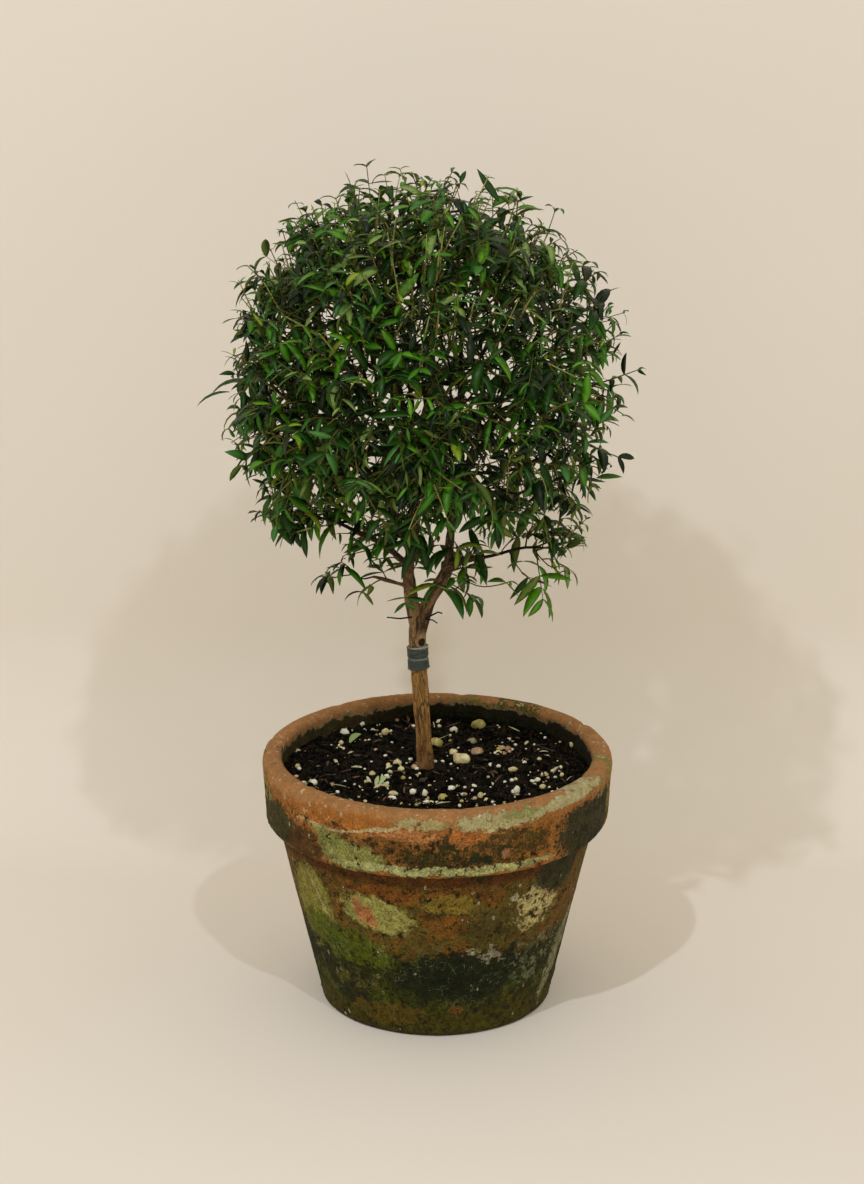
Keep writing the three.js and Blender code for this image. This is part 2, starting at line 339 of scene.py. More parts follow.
# Mottle: noise of two sizes, each as a share from 0 to 1 that darkens or tints a surface
mottleGroup, given, result = newGroup(
    "mottle", {"Place": None, "Size": 0.01, "Contrast": 1.0}, ("Broad", "Fine"))
for outlet, finer, detail in (("Broad", 1.0, 3.0), ("Fine", 6.0, 4.0)):
    grain = given["Place"].noise(given["Size"] / finer, detail, 0.6)
    spread = (grain - 0.5) * 2.2 * given["Contrast"] + 0.5
    feed(mottleGroup, result, {outlet: addNode(mottleGroup, "ShaderNodeClamp", {0: spread})[0]})


def mottled(place, size, contrast):
    return addNode(place.tree, "ShaderNodeGroup", {"Place": place, "Size": size, "Contrast": contrast},
                   node_tree=mottleGroup)


view = {"target": (-2.3, 0, 250.8), "pitch": 17.69, "distance": 1740, "lens": 91.2}
pitch = math.radians(view["pitch"])
camera = bpy.data.objects.new("camera", bpy.data.cameras.new("camera"))
bpy.context.scene.collection.objects.link(camera)
camera.data.lens = view["lens"]
camera.data.clip_start = 0.05
backward = np.array([0, -math.cos(pitch), math.sin(pitch)])
camera.location = (np.array(view["target"]) + view["distance"] * backward) * mm
camera.rotation_euler = (math.pi / 2 - pitch, 0, 0)
bpy.context.scene.camera = camera
bpy.context.scene.view_settings.view_transform = "Standard"

backdrop = {
    "wall": 309,  # how far the wall stands behind the pot's axis
    "sweep": 135,  # radius of the bend between floor and wall
    "wallTop": 1250,
    "halfWidth": 620,
    "front": 900,
    "floorHalf": 2600,
    "colour": (0.84, 0.772, 0.66, 1.0),
}


def backdropMaterial():
    # matt paper, which the camera sees through from behind, so that the back of the plant shows too
    material, tree, shader = newMaterial("paper", Roughness=0.95, Specular_IOR_Level=0.1)
    pale = backdrop["colour"]
    shade = (*[c * 0.97 for c in pale[:3]], 1.0)
    mottle = mottled(objectPlace(tree), 0.35, 0.5)
    feed(tree, shader, {"Base Color": mixColour(tree, mottle["Broad"], pale, shade)})
    seenFrom = addNode(tree, "ShaderNodeLightPath")["Is Camera Ray"]
    behind = addNode(tree, "ShaderNodeNewGeometry")["Backfacing"]
    clear = addNode(tree, "ShaderNodeBsdfTransparent")[0]
    chooser = addNode(tree, "ShaderNodeMixShader", {
        0: seenFrom * behind, 1: Wire(tree, shader.outputs[0]), 2: clear})[0]
    feed(tree, tree.nodes["Material Output"], {"Surface": chooser})
    return material


def makeBackdrop():
    # a floor, and a sheet that runs along it and bends up into a wall: a straight run, a quarter
    # circle and a straight run, swept sideways
    paper = backdropMaterial()
    wall, sweep = backdrop["wall"], backdrop["sweep"]
    bend = arcOf(wall - sweep, sweep, sweep, -90, 0, 24)
    profile = np.concatenate([[[-backdrop["front"], 0]], bend, [[wall, backdrop["wallTop"]]]])
    side = np.array([-backdrop["halfWidth"], backdrop["halfWidth"]])
    points = np.zeros((len(profile), 2, 3))
    points[..., 0] = side
    points[..., 1:] = profile[:, None]
    quads = gridQuads(len(profile), 2, wrap=False)
    sheet = makePiece("backdrop", (points.reshape(-1, 3), quads, ()), [paper])
    half = backdrop["floorHalf"]
    corners = np.array([[-half, -half, -0.3], [half, -half, -0.3], [half, half, -0.3], [-half, half, -0.3]])
    floor = makePiece("floor", (corners, [[0, 1, 2, 3]], ()), [paper])


lamps = {
    "keyRight": {"at": (1099, -2900, 3447), "size": 110, "power": 30},
    "keyLeft": {"at": (-497, -1052, 1587), "size": 42, "power": 8.2},
}
lampTarget = np.array([0, 0, 300])
room = {
    "lampColour": (0.80, 0.85, 1.0),
    "glow": (0.70, 0.655, 0.57, 1.0), "seen": (222, 212, 193),  # its light, and how the camera sees it
}


def makeLamps():
    for name, lamp in lamps.items():
        light = bpy.data.lights.new(name, "AREA")
        light.shape = "DISK"
        light.size = lamp["size"] * mm
        light.energy = lamp["power"]
        light.color = room["lampColour"]
        holder = bpy.data.objects.new(name, light)
        bpy.context.scene.collection.objects.link(holder)
        aim = lampTarget - np.array(lamp["at"])
        holder.location = np.array(lamp["at"]) * mm
        holder.rotation_euler = (
            math.atan2(math.hypot(aim[0], aim[1]), -aim[2]), 0, math.atan2(aim[1], aim[0]) - math.pi / 2)
    world = bpy.data.worlds.new("room")
    world.use_nodes = True
    tree = world.node_tree
    seenFrom = addNode(tree, "ShaderNodeLightPath")["Is Camera Ray"]
    feed(tree, tree.nodes["Background"], {
        "Color": mixColour(tree, seenFrom, room["glow"], srgb(*room["seen"]))})
    bpy.context.scene.world = world


makeBackdrop()
makeLamps()
print("stage 2: camera, backdrop and lamps")

pot = {
    "height": 153.5, "foot": 68.4, "taper": 0.226, "footRound": 2.5,
    "collarBottom": 113, "collarRadius": 100.9, "collarRound": 3.0,
    "lipRadius": 103, "lipRound": 5.5, "mouthRadius": 91.5, "innerLip": 4.0,
    "wallAtCollar": 85, "well": 58.5, "floor": 10,
    "innerEdge": 139,  # where the inside, upright from the lip down, starts to taper under the soil
    "sides": 520, "step": 1.15, "hiddenStep": 9,
    "lean": 0.7,  # how far the collar was set off to one side when the pot was thrown
}
lipChips = [  # azimuth from the front, depth and width of each chip out of the lip
    (-52, 0.9, 3.2), (-47, 0.6, 2.0), (8, 0.5, 2.4), (64, 0.8, 3.0), (118, 1.2, 4.0), (171, 0.9, 3.4),
    (-104, 1.0, 3.0), (-143, 0.7, 2.6),
]


def potProfile():
    # the pot's outline from the middle of its underside, out and up to the lip and down inside
    bodyTop = pot["foot"] + pot["taper"] * pot["collarBottom"]
    lip, inner = pot["lipRound"], pot["innerLip"]
    under = [[0.4, 0], [pot["foot"] - pot["footRound"], 0]]
    outside = np.concatenate([
        arcOf(pot["foot"] - pot["footRound"], pot["footRound"], pot["footRound"], -80, 0, 5),
        [[bodyTop, pot["collarBottom"]]],
        arcOf(pot["collarRadius"] - pot["collarRound"], pot["collarBottom"] + pot["collarRound"],
              pot["collarRound"], -90, 0, 6),
        arcOf(pot["lipRadius"] - lip, pot["height"] - lip, lip, 0, 90, 9),
        arcOf(pot["mouthRadius"] + inner, pot["height"] - inner, inner, 90, 180, 7),
        [[pot["mouthRadius"], pot["innerEdge"]]],
    ])
    inside = [[pot["mouthRadius"], pot["innerEdge"]], [pot["wallAtCollar"] + 0.3, pot["collarBottom"]],
              [pot["well"] + 0.3, pot["floor"]], [0.4, pot["floor"]]]
    return np.concatenate([
        resample(np.array(under, float), pot["hiddenStep"])[:-1],
        resample(outside, pot["step"]),
        resample(np.array(inside, float), pot["hiddenStep"])[1:],
    ])


def potRelief(points, height, azimuth, seen):
    # how far the clay stands in or out, in mm: slow waves of the thrown wall, fine turning rings, a
    # crumbly crust in islands, small pits, the chips out of the lip, and tufts of moss low down
    wave = 0.35 * cloud(points, 46, 3, 2)
    rings = 0.05 * np.sin(height * 2.4 + 1.5 * cloud(points, 30, 5)) * (height < pot["collarBottom"])
    crust = 0.34 * ease(cloud(points, 11, 7, 4), 0.12, 0.3) * (0.6 + 0.4 * cloud(points, 2.2, 9, 2))
    pits = -0.42 * ease(-cloud(points, 3.6, 11, 2), 0.45, 0.62)
    grain = 0.10 * cloud(points, 1.9, 13, 2)
    lowCrust = ease(9 - np.abs(height - pot["collarBottom"] - 3), 0, 6)
    crumbs = 0.5 * lowCrust * np.maximum(cloud(points, 3.4, 15, 3), 0)
    chips = np.zeros(len(points))
    for at, depth, width in lipChips:
        around = (azimuth - at + 180) % 360 - 180
        across = np.hypot(np.radians(around) * pot["lipRadius"], 1.2 * (height - pot["height"] + 1.5))
        chips -= depth * np.exp(-(across / width) ** 2 * (1 + 0.5 * cloud(points, 2.5, 17)))
    tufts = 0.9 * ease(66 - height, 0, 14) * ease(cloud(points, 15, 21, 2), 0.0, 0.2)
    tufts *= np.maximum(cloud(points, 2.3, 19, 2), 0)
    return (wave + rings + crust + pits + grain + crumbs + chips + tufts) * seen


def makePot(material):
    # the profile turned round the axis and moved along its own normal by the relief
    profile = potProfile()
    points, normal, azimuth = turned(profile, pot["sides"])
    height = profile[:, 1]
    seen = (height > 1.2) & ((height > pot["innerEdge"] - 1) | (profile[:, 0] > pot["foot"] - 1))
    inner = (np.arange(len(profile)) > np.argmax(height)) & (height < pot["innerEdge"] + 0.5)
    seen = np.repeat((seen & ~inner).astype(float), pot["sides"])
    points += normal * potRelief(points, points[:, 2], azimuth, seen)[:, None]
    points[:, 0] += pot["lean"] * ease(points[:, 2], 100, 125)
    points[:, 2] = np.clip(points[:, 2], 0, None)
    shape = closeTurned(points, pot["sides"], 0, pot["floor"])
    finishPiece(makePiece("clayPot", shape, [material]), "clay", "pot")


# Wander: how far a pattern on the clay is pushed aside, in mm, in large, middling and small waves
wanderGroup, given, result = newGroup("wander", {"Place": None}, ("Around", "Up"))
waves = [(given["Place"].noise(size, 3.0, 0.66, outlet="Color"), amount)
         for size, amount in ((0.024, 17.0), (0.0075, 12.0), (0.0021, 6.5))]
channels = [(addNode(wanderGroup, "ShaderNodeSeparateColor", {0: wave}), amount) for wave, amount in waves]
for k, outlet in enumerate(("Around", "Up")):
    large, middling, small = ((channel[k] - 0.5) * amount for channel, amount in channels)
    feed(wanderGroup, result, {outlet: large + middling + small})

# Stain: a patch on a turned surface. Around and Up say where a point lies and Push Around and Push Up how
# far it wanders, in mm. The patch is a turned ellipse about its middle, and Broken is how much of it is
# lost to holes: it shows where Crackle is higher.
stainGroup, given, result = newGroup("stain", {
    "Around": 0.0, "Up": 0.0, "Push Around": 0.0, "Push Up": 0.0, "Crackle": 0.0, "Middle Around": 0.0,
    "Middle Up": 0.0, "Half Width": 10.0, "Half Height": 10.0, "Turn": 0.0, "Ragged": 0.5, "Broken": 0.3,
}, ["Mask"])
offAround = given["Around"] + given["Push Around"] * given["Ragged"] - given["Middle Around"]
offUp = given["Up"] + given["Push Up"] * given["Ragged"] - given["Middle Up"]
cosTurn, sinTurn = given["Turn"].math("COSINE"), given["Turn"].math("SINE")
along = (offAround * cosTurn + offUp * sinTurn) / given["Half Width"]
athwart = (offUp * cosTurn - offAround * sinTurn) / given["Half Height"]
distance = (along * along + athwart * athwart).math("SQRT")
body = (distance - (given["Crackle"] - 0.5) * 1.3).ease(1.08, 0.86)
whole = (given["Crackle"] - given["Broken"] * 0.42 - 0.29).ease(-0.02, 0.03)
feed(stainGroup, result, {"Mask": body * whole})

# Specks: round spots of uneven size, 1 inside them. Share is how many cells of the pattern hold one.
specksGroup, given, result = newGroup("specks", {"Place": None, "Size": 0.002, "Share": 0.3}, ["Mask"])
cells = addNode(specksGroup, "ShaderNodeTexVoronoi", {"Vector": given["Place"], "Scale": 1 / given["Size"]})
cellNumber = addNode(specksGroup, "ShaderNodeSeparateColor", {0: cells["Color"]})
inSpot = cells["Distance"].math("LESS_THAN", cellNumber[1] * 0.42)
feed(specksGroup, result, {"Mask": cellNumber[0].math("LESS_THAN", given["Share"]) * inSpot})

stainRadius = 95.0  # the radius at which the stains' widths are measured
# The pot's stains, from the lowest layer up: azimuth from the front, height, half width, half height,
# turn, ragged, broken, strength and colour
stains = {
    "collarBrown": (-4, 124, 62, 11, 0, 1.0, 0.1, 0.8, (112, 74, 30)),
    "collarLeftOrange": (-36, 142, 46, 8, 4, 0.7, 0.1, 0.85, (158, 100, 42)),
    "collarLeftGreen": (-70, 124, 34, 14, 6, 0.9, 0.15, 0.92, (46, 52, 20)),
    "collarLeftBrown": (-48, 121, 15, 9, 0, 0.9, 0.3, 0.9, (70, 46, 18)),
    "collarStreak": (33, 131, 13, 13, 0, 1.2, 0.35, 0.85, (134, 86, 30)),
    "collarMoss": (6, 126.5, 33, 7.5, 0, 1.2, 0.44, 0.93, (36, 40, 12)),
    "collarMossRight": (24, 132, 24, 8.5, 0, 1.2, 0.42, 0.85, (58, 52, 18)),
    "collarCrack": (3.5, 137, 1.5, 11, 0, 1.0, 0.2, 0.85, (44, 44, 20)),
    "collarOrangeOne": (-10.5, 139.8, 20, 4.6, -3, 0.5, 0.1, 0.9, (164, 110, 62)),
    "collarOrangeTwo": (10.0, 140.5, 10, 5.0, 0, 0.6, 0.05, 0.95, (160, 98, 44)),
    "collarBlob": (14.8, 127, 6.6, 4.4, 10, 1.2, 0.15, 0.95, (34, 40, 19)),
    "collarBlush": (23, 126.5, 3.2, 3, 0, 0.7, 0.1, 0.8, (160, 112, 72)),
    "collarRightDark": (62, 127, 34, 18, 0, 0.9, 0.16, 0.94, (42, 46, 24)),
    "collarLichen": (-29, 123.5, 21, 9, -14, 0.8, 0.22, 0.94, (126, 126, 66)),
    "collarLichenTop": (-37, 131, 12, 5, -20, 0.7, 0.25, 0.9, (120, 122, 62)),
    "crustLine": (2, 117.8, 66, 2.9, 0, 0.45, 0.3, 0.94, (156, 156, 100)),
    "scallopOne": (-41, 136.6, 19, 1.2, -1, 0.25, 0.3, 0.75, (170, 158, 116)),
    "scallopTwo": (-20, 140.9, 19, 1.3, 14, 0.25, 0.25, 0.8, (170, 158, 116)),
    "creamBand": (-5.0, 147.0, 15, 3.6, 0, 0.4, 0.28, 0.92, (162, 150, 98)),
    "paleLichen": (22, 146.8, 27, 5.2, 0, 0.55, 0.22, 0.94, (164, 156, 108)),
    "paleRim": (48, 149.6, 34, 3.6, 3, 0.5, 0.24, 0.92, (166, 158, 112)),
    "greenRim": (28, 149.6, 13, 2.4, 2, 0.8, 0.35, 0.8, (118, 126, 66)),
    "bodySheet": (-57, 75, 23, 27, -14, 0.5, 0.06, 0.92, (128, 122, 54)),
    "bodySheetEdge": (-51, 82, 20, 1.6, -62, 0.25, 0.25, 0.8, (156, 148, 100)),
    "bodyOrangeOne": (-20, 98.5, 26, 5.5, 0, 0.9, 0.2, 0.85, (114, 68, 22)),
    "bodyOrangeTwo": (5, 76, 15, 7, 0, 1.0, 0.3, 0.85, (112, 72, 24)),
    "bodyOlive": (5, 91.5, 17, 7.5, 0, 1.0, 0.25, 0.9, (118, 100, 34)),
    "bodyGreenBrown": (24, 72, 22, 12, 0, 1.1, 0.3, 0.85, (74, 66, 24)),
    "bodyLichen": (-23, 82.5, 25, 13, -9, 0.6, 0.08, 0.95, (142, 138, 72)),
    "bodySalmon": (-28, 82, 11.5, 5.8, -46, 0.5, 0.03, 0.96, (160, 104, 62)),
    "bodySpot": (30.2, 91.5, 3.9, 3.4, 30, 0.4, 0.1, 0.95, (164, 158, 122)),
    "bodyCream": (42, 83, 17, 14, 20, 1.2, 0.44, 0.95, (178, 164, 108)),
    "bodyRightDark": (52, 101, 19, 13, 0, 1.0, 0.2, 0.93, (46, 49, 26)),
    "bodyNotch": (-1, 83.5, 8, 3, 20, 1.2, 0.4, 0.85, (52, 46, 18)),
    "mossLeft": (-44, 57, 42, 13, -8, 1.0, 0.25, 0.9, (76, 86, 10)),
    "blackGreen": (10, 42, 52, 17, 0, 1.2, 0.22, 0.93, (22, 28, 8)),
    "smearOne": (22, 56, 16, 5, -14, 1.4, 0.52, 0.85, (134, 130, 102)),
    "smearTwo": (46, 44, 24, 17, 12, 1.4, 0.54, 0.75, (112, 114, 84)),
    "streakRight": (66, 38, 30, 8, 66, 0.8, 0.3, 0.85, (130, 128, 92)),
    "footOchre": (-24, 15, 34, 7, 0, 1.1, 0.3, 0.8, (86, 70, 20)),
    "footOrange": (11, 20, 5, 4.5, 0, 1.2, 0.3, 0.85, (112, 74, 26)),
}
paleStain = 100  # stains whose red and green are over this are a crust that stands out a little
hiddenSideStains = {
    "count": 34, "fromAzimuth": 80, "toAzimuth": 286, "seed": 5,
    "colours": [(134, 130, 62), (112, 104, 44), (160, 146, 96), (118, 72, 26), (40, 42, 20),
                (156, 102, 58), (34, 38, 18), (70, 72, 20)],
}


def allStains():
    # the stains by name, and more of their kind scattered round the sides and the back
    hidden = hiddenSideStains
    rng = np.random.default_rng(hidden["seed"])
    listed = list(stains.values())
    for azimuth in np.linspace(hidden["fromAzimuth"], hidden["toAzimuth"], hidden["count"]):
        place = ((azimuth + rng.uniform(-9, 9) + 180) % 360 - 180, rng.uniform(30, 147))
        size = (rng.uniform(8, 28), rng.uniform(4, 13))
        look = (rng.uniform(-30, 30), rng.uniform(0.7, 1.4), rng.uniform(0.1, 0.5), 0.9)
        listed.append((*place, *size, *look, hidden["colours"][rng.integers(len(hidden["colours"]))]))
    return listed


def clayMaterial():
    # clay in zones by height, with painted shade in a dark band under the collar's overhang, the stains over
    # them, then black algae in the pores, pale flakes, lime and grain; the inside of the rim is overgrown
    # down to the soil
    material, tree, shader = newMaterial("weatheredClay", Specular_IOR_Level=0.14)
    place = objectPlace(tree)
    axes = axesOf(place)
    aroundMm = axes[0].math("ARCTAN2", axes[1] * -1.0) * stainRadius
    upMm = axes[2] * (1 / mm)
    wander = addNode(tree, "ShaderNodeGroup", {"Place": place}, node_tree=wanderGroup)
    crackle = place.noise(0.0042, 6, 0.72)
    pores = place.noise(0.0017, 5, 0.75)
    patches = place.noise(0.013, 5, 0.65)
    broad = place.noise(0.034, 3, 0.5)
    mottle = mottled(place, 0.012, 1.7)

    raggedUp = upMm + wander["Up"] * 1.3
    collar = mottle["Broad"].between((160, 106, 52), (136, 88, 42))
    collar = collar.painted(raggedUp.ease(144, 150), (160, 114, 68))
    body = mottle["Broad"].between((120, 78, 26), (92, 68, 26))
    body = body.painted(patches.ease(0.47, 0.56), (80, 74, 26), 0.7)
    # a dark red-brown band just under the collar: painted shade of the collar's overhang
    body = body.painted((upMm + wander["Up"] * 0.3).ease(101, 106), (78, 44, 16), 0.85)
    algae = broad.ease(0.42, 0.56).between((50, 62, 8), (30, 38, 9))
    algae = algae.painted(patches.ease(0.52, 0.6), (70, 68, 14))
    body = body.painted(raggedUp.ease(62, 52), algae, 0.92)
    body = body.painted(raggedUp.ease(22, 12), (70, 62, 14), 0.8)
    colour = body.painted(upMm.ease(112.2, 113.2), collar)

    crust = None
    for middle, up, halfWidth, halfHeight, turn, ragged, broken, strength, paint in allStains():
        mask = addNode(tree, "ShaderNodeGroup", {
            "Around": aroundMm, "Up": upMm, "Push Around": wander["Around"], "Push Up": wander["Up"],
            "Crackle": crackle, "Middle Around": math.radians(middle) * stainRadius, "Middle Up": up,
            "Half Width": halfWidth, "Half Height": halfHeight, "Turn": math.radians(turn),
            "Ragged": ragged, "Broken": broken}, node_tree=stainGroup)["Mask"]
        colour = colour.painted(mask, paint, strength)
        if min(paint[:2]) > paleStain:
            crust = crust.math("MAXIMUM", mask) if crust else mask

    threads = abs(place.noise(0.0058, 2, 0.5, 1.2) - 0.5).ease(0.012, 0.004)
    fibrous = raggedUp.ease(20, 30) * raggedUp.ease(66, 56) * patches.ease(0.5, 0.56) * threads
    colour = colour.painted(fibrous, (142, 142, 112), 0.55)

    onLip = upMm.ease(139, 149)
    grime = crackle + onLip * 0.12 + crust * 0.06
    colour = colour.painted((grime + (patches - 0.5) * 0.6).ease(0.46, 0.39), (38, 38, 10), 0.75)
    colour = colour.painted(grime.ease(0.43, 0.39), (30, 28, 13), 0.85)
    colour = colour.painted((pores + onLip * 0.05).ease(0.42, 0.37), (30, 27, 13), 0.75)
    colour = colour.painted(crackle.ease(0.6, 0.64) * raggedUp.ease(138, 148), (206, 184, 148), 0.8)
    bits = addNode(tree, "ShaderNodeGroup", {
        "Place": place.stretched((1, 1, 0.6), (0.3, 0.1, 0.2)), "Size": 0.003, "Share": 0.06,
    }, node_tree=specksGroup)["Mask"]
    colour = colour.painted(bits * pores.ease(0.46, 0.5), (176, 172, 140), 0.75)
    colour = colour.painted(upMm.ease(3.4, 1.8), (64, 48, 28), 0.8)

    fromAxis = (axes[0] * axes[0] + axes[1] * axes[1]).math("SQRT")
    inside = fromAxis.ease(0.0945, 0.0925) * upMm.ease(130, 132)
    growthUp = upMm + wander["Up"] * 0.7
    colour = colour.painted(inside * growthUp.ease(150.5, 148.5), (128, 118, 84), 0.7)
    growth = axes[0].ease(-0.06, -0.02).between((52, 46, 18), (20, 21, 8))
    colour = colour.painted(inside * growthUp.ease(148.4, 147.4), growth, 0.95)

    speckled = place.noise(0.0012, 4, 0.8).ease(0.33, 0.67, 0.5, 1.52)
    clouded = place.noise(0.006, 5, 0.75).ease(0.32, 0.68, 0.64, 1.36)
    grain = addNode(tree, "ShaderNodeMix", {0: onLip * 0.6, 2: speckled * clouded, 3: 1.0},
                    data_type="FLOAT")[0]
    shade = addNode(tree, "ShaderNodeCombineColor", {0: grain, 1: grain, 2: grain})[0]
    feed(tree, shader, {
        "Base Color": mixColour(tree, 1.0, colour, shade, "MULTIPLY"),
        "Roughness": mottle["Fine"].ease(0.2, 0.8, 0.75, 0.97),
        "Normal": bumped(crackle * 0.8 + crust * 0.5 + pores * 0.8, 0.8, 0.0009)})
    return material


makePot(clayMaterial())
print("stage 3: pot")

blade = {
    "stations": (0.0, 0.09, 0.25, 0.44, 0.64, 0.84, 1.0),  # shares of the length, from stalk to tip
    "widest": 0.42, "stalk": 0.34, "thickness": 0.2,
}


def bladeShapes(base, along, up, length, width, arch, fold, twist):
    # thin leaf blades, all at once. At a share t of its length a blade's middle line has turned by
    # arch * t away from its first direction, towards its underside. Its edges lie on both sides at the
    # half width sin(pi t') with t' = t ** k, raised by the fold and turned by twist * t, and its two
    # faces stand half a thickness apart on the middle line.
    t = np.array(blade["stations"])[None, :, None]
    power = math.log(0.5) / math.log(blade["widest"])
    half = np.sin(np.pi * t ** power) ** 0.85 * width[:, None, None] / 2
    half = np.maximum(half, blade["stalk"] * (1 - ease(t, 0.0, 0.3)))
    half[:, -1] = 0
    bend = arch[:, None, None]
    bend = np.where(np.abs(bend) < 1e-3, 1e-3, bend)
    turn = bend * t
    side = np.cross(along, up)[:, None]
    along, up = along[:, None], up[:, None]
    middle = base[:, None] + length[:, None, None] / bend * (
        np.sin(turn) * along - (1 - np.cos(turn)) * up)
    face = np.cos(turn) * up + np.sin(turn) * along
    roll = twist[:, None, None] * t
    across = np.cos(roll) * side + np.sin(roll) * face
    face = np.cos(roll) * face - np.sin(roll) * side
    raised = fold[:, None, None]
    thick = blade["thickness"] / 2
    left = middle + half * (across * np.cos(raised) + face * np.sin(raised))
    right = middle + half * (-across * np.cos(raised) + face * np.sin(raised))
    rings = np.stack([left, middle + face * thick, right, middle - face * thick], axis=2)
    count, stations = rings.shape[:2]
    points = np.concatenate([rings[:, :-1].reshape(count, -1, 3), middle[:, -1:]], axis=1)
    tip = 4 * (stations - 1)
    quads = np.concatenate([gridQuads(stations - 1, 4)[:, ::-1], [[0, 1, 2, 3]]])
    triangles = capTriangles(np.arange(tip - 4, tip), tip, inward=True)
    offset = (np.arange(count) * (tip + 1))[:, None, None]
    lowLine = np.arange(3, tip, 4)
    under = np.concatenate([np.tile(np.isin(faces, lowLine).any(axis=1), count)
                            for faces in (quads, triangles)])
    owner = np.concatenate([np.repeat(np.arange(count), len(quads)),
                            np.repeat(np.arange(count), len(triangles))])
    shape = (points.reshape(-1, 3), (quads + offset).reshape(-1, 4), (triangles + offset).reshape(-1, 3))
    return shape, owner, under


soil = {
    "edge": 139.6, "crown": 143.2, "radius": 91.0, "sides": 420, "rings": 105, "stem": (-6.1, 0),
    "lump": 1.2, "clod": 2.3, "crumb": 0.5,
    "crumbs": 2200, "sunk": 0.8,
}
# Grains that stand out on the soil: where they lie, width, depth and height, and what they are
grains = {
    "bigStone": (15, 7, 10.8, 8.5, 7.0, "cream"), "redStone": (24.6, 20.5, 7.6, 6, 5.5, "blush"),
    "greyStone": (21.8, 43, 6, 6, 4.2, "grey"), "stemFlake": (0.5, 36, 5, 8, 6, "yellow"),
    "triangle": (26.3, 74, 9, 7, 7, "yellow"), "backPerlite": (25, 95, 4, 4, 3.5, "cream"),
    "whiteOne": (11.2, 63.5, 5, 4, 4.2, "white"), "creamOne": (-30.5, 59.3, 5.4, 5, 4.8, "cream"),
    "whiteTwo": (-56, 64, 4, 6, 4.8, "white"), "whiteThree": (-57.3, 43, 3.2, 3, 3, "cream"),
    "creamTwo": (10.5, 23.7, 6, 5, 3.6, "cream"), "baseOne": (-22.7, 0.9, 5, 6, 4.6, "cream"),
    "baseTwo": (-20.5, -6.9, 4.4, 4, 3.8, "cream"), "baseThree": (-28, 0.9, 7.8, 3, 2.6, "cream"),
    "blushBase": (-12.5, -1.5, 4.4, 4, 3.4, "blush"), "creamThree": (45.5, -6.9, 5.6, 4.4, 3, "cream"),
    "whiteFour": (52.6, 7.1, 2.8, 2.8, 2.4, "white"), "whiteFive": (32.4, 1.7, 3, 3, 2.2, "white"),
    "tallWhite": (46.7, -39.8, 3.6, 4.2, 5.4, "white"), "ovalOne": (8.8, -36, 5.4, 4.2, 3.4, "white"),
    "ovalTwo": (-24.5, -42.7, 5.8, 4, 3.2, "cream"), "ovalThree": (-13.4, -42.4, 4.4, 4.2, 4, "white"),
    "tallTwo": (-6.5, -44.2, 3.2, 4, 5, "white"), "yellowFlake": (4.1, -50.8, 6, 5, 3.4, "yellow"),
    "ovalFour": (-37.3, -14.1, 4.3, 3.8, 3.4, "cream"), "whiteSix": (59.6, -19.1, 4, 3.6, 3, "white"),
    "whiteSeven": (62, -31.2, 4, 3.8, 3.4, "cream"), "blushOne": (40.1, 31.7, 4.2, 3.8, 3.2, "blush"),
    "blushTwo": (43.5, 27.7, 4.2, 3.6, 3.2, "blush"), "edgeOne": (-83, 34.5, 3.2, 3.4, 3.4, "cream"),
    "edgeTwo": (-82, 5.2, 2.9, 3, 3, "cream"), "clusterOne": (-71.3, -24, 4.8, 4, 3.6, "white"),
    "whiteEight": (-45.4, 79, 3.4, 3.2, 3, "white"), "creamFour": (25.8, -46.1, 4, 3.8, 4.2, "cream"),
    "creamFive": (29.1, -51.6, 3.2, 3, 3, "cream"), "flatOne": (-24.9, -49, 5.4, 3, 2, "white"),
    "flatTwo": (-5.8, -54.5, 5.4, 3, 2, "white"), "creamSix": (-29.2, -34.2, 4.2, 4, 3.8, "cream"),
    "flatThree": (44.1, 49.9, 4.2, 3, 2.4, "white"), "creamSeven": (60.7, 86, 3.6, 3.4, 3, "cream"),
    "flatFour": (1.9, 83, 6, 2.6, 2, "white"), "whiteNine": (82, 41.7, 3.6, 4, 4, "cream"),
    "whiteTen": (-28.7, -19.1, 3.5, 3.3, 3.2, "white"), "flatFive": (22.2, -30.4, 4.2, 2.4, 1.6, "white"),
}
looseGrains = {
    "count": 300, "least": 0.7, "most": 3.2, "seed": 17, "gathered": 0.42, "reach": 0.97,
    "heaps": ((-32, -34, 7), (-8, -52, 9), (8, -44, 9), (-20, -8, 7), (38, 26, 7), (52, -24, 8), (66, -6, 7),
              (-62, 40, 8), (-40, 62, 10), (28, -52, 7), (-74, -22, 5), (60, 60, 12)),  # x, y and spread
}
grainLooks = {  # each kind of grain: its material's name and the two colours it is mottled in
    "white": ("perliteWhite", (250, 246, 224), (224, 216, 180)),
    "cream": ("perliteCream", (242, 230, 176), (190, 170, 112)),
    "yellow": ("chipYellow", (206, 192, 112), (140, 128, 66)),
    "blush": ("chipBlush", (220, 190, 150), (140, 92, 62)),
    "grey": ("chipGrey", (162, 156, 118), (112, 106, 80)),
}
crumbLooks = (("crumbDark", (13, 12, 7), (6, 6, 4), 0.05), ("crumbBrown", (44, 33, 20), (20, 15, 9), 0.05))
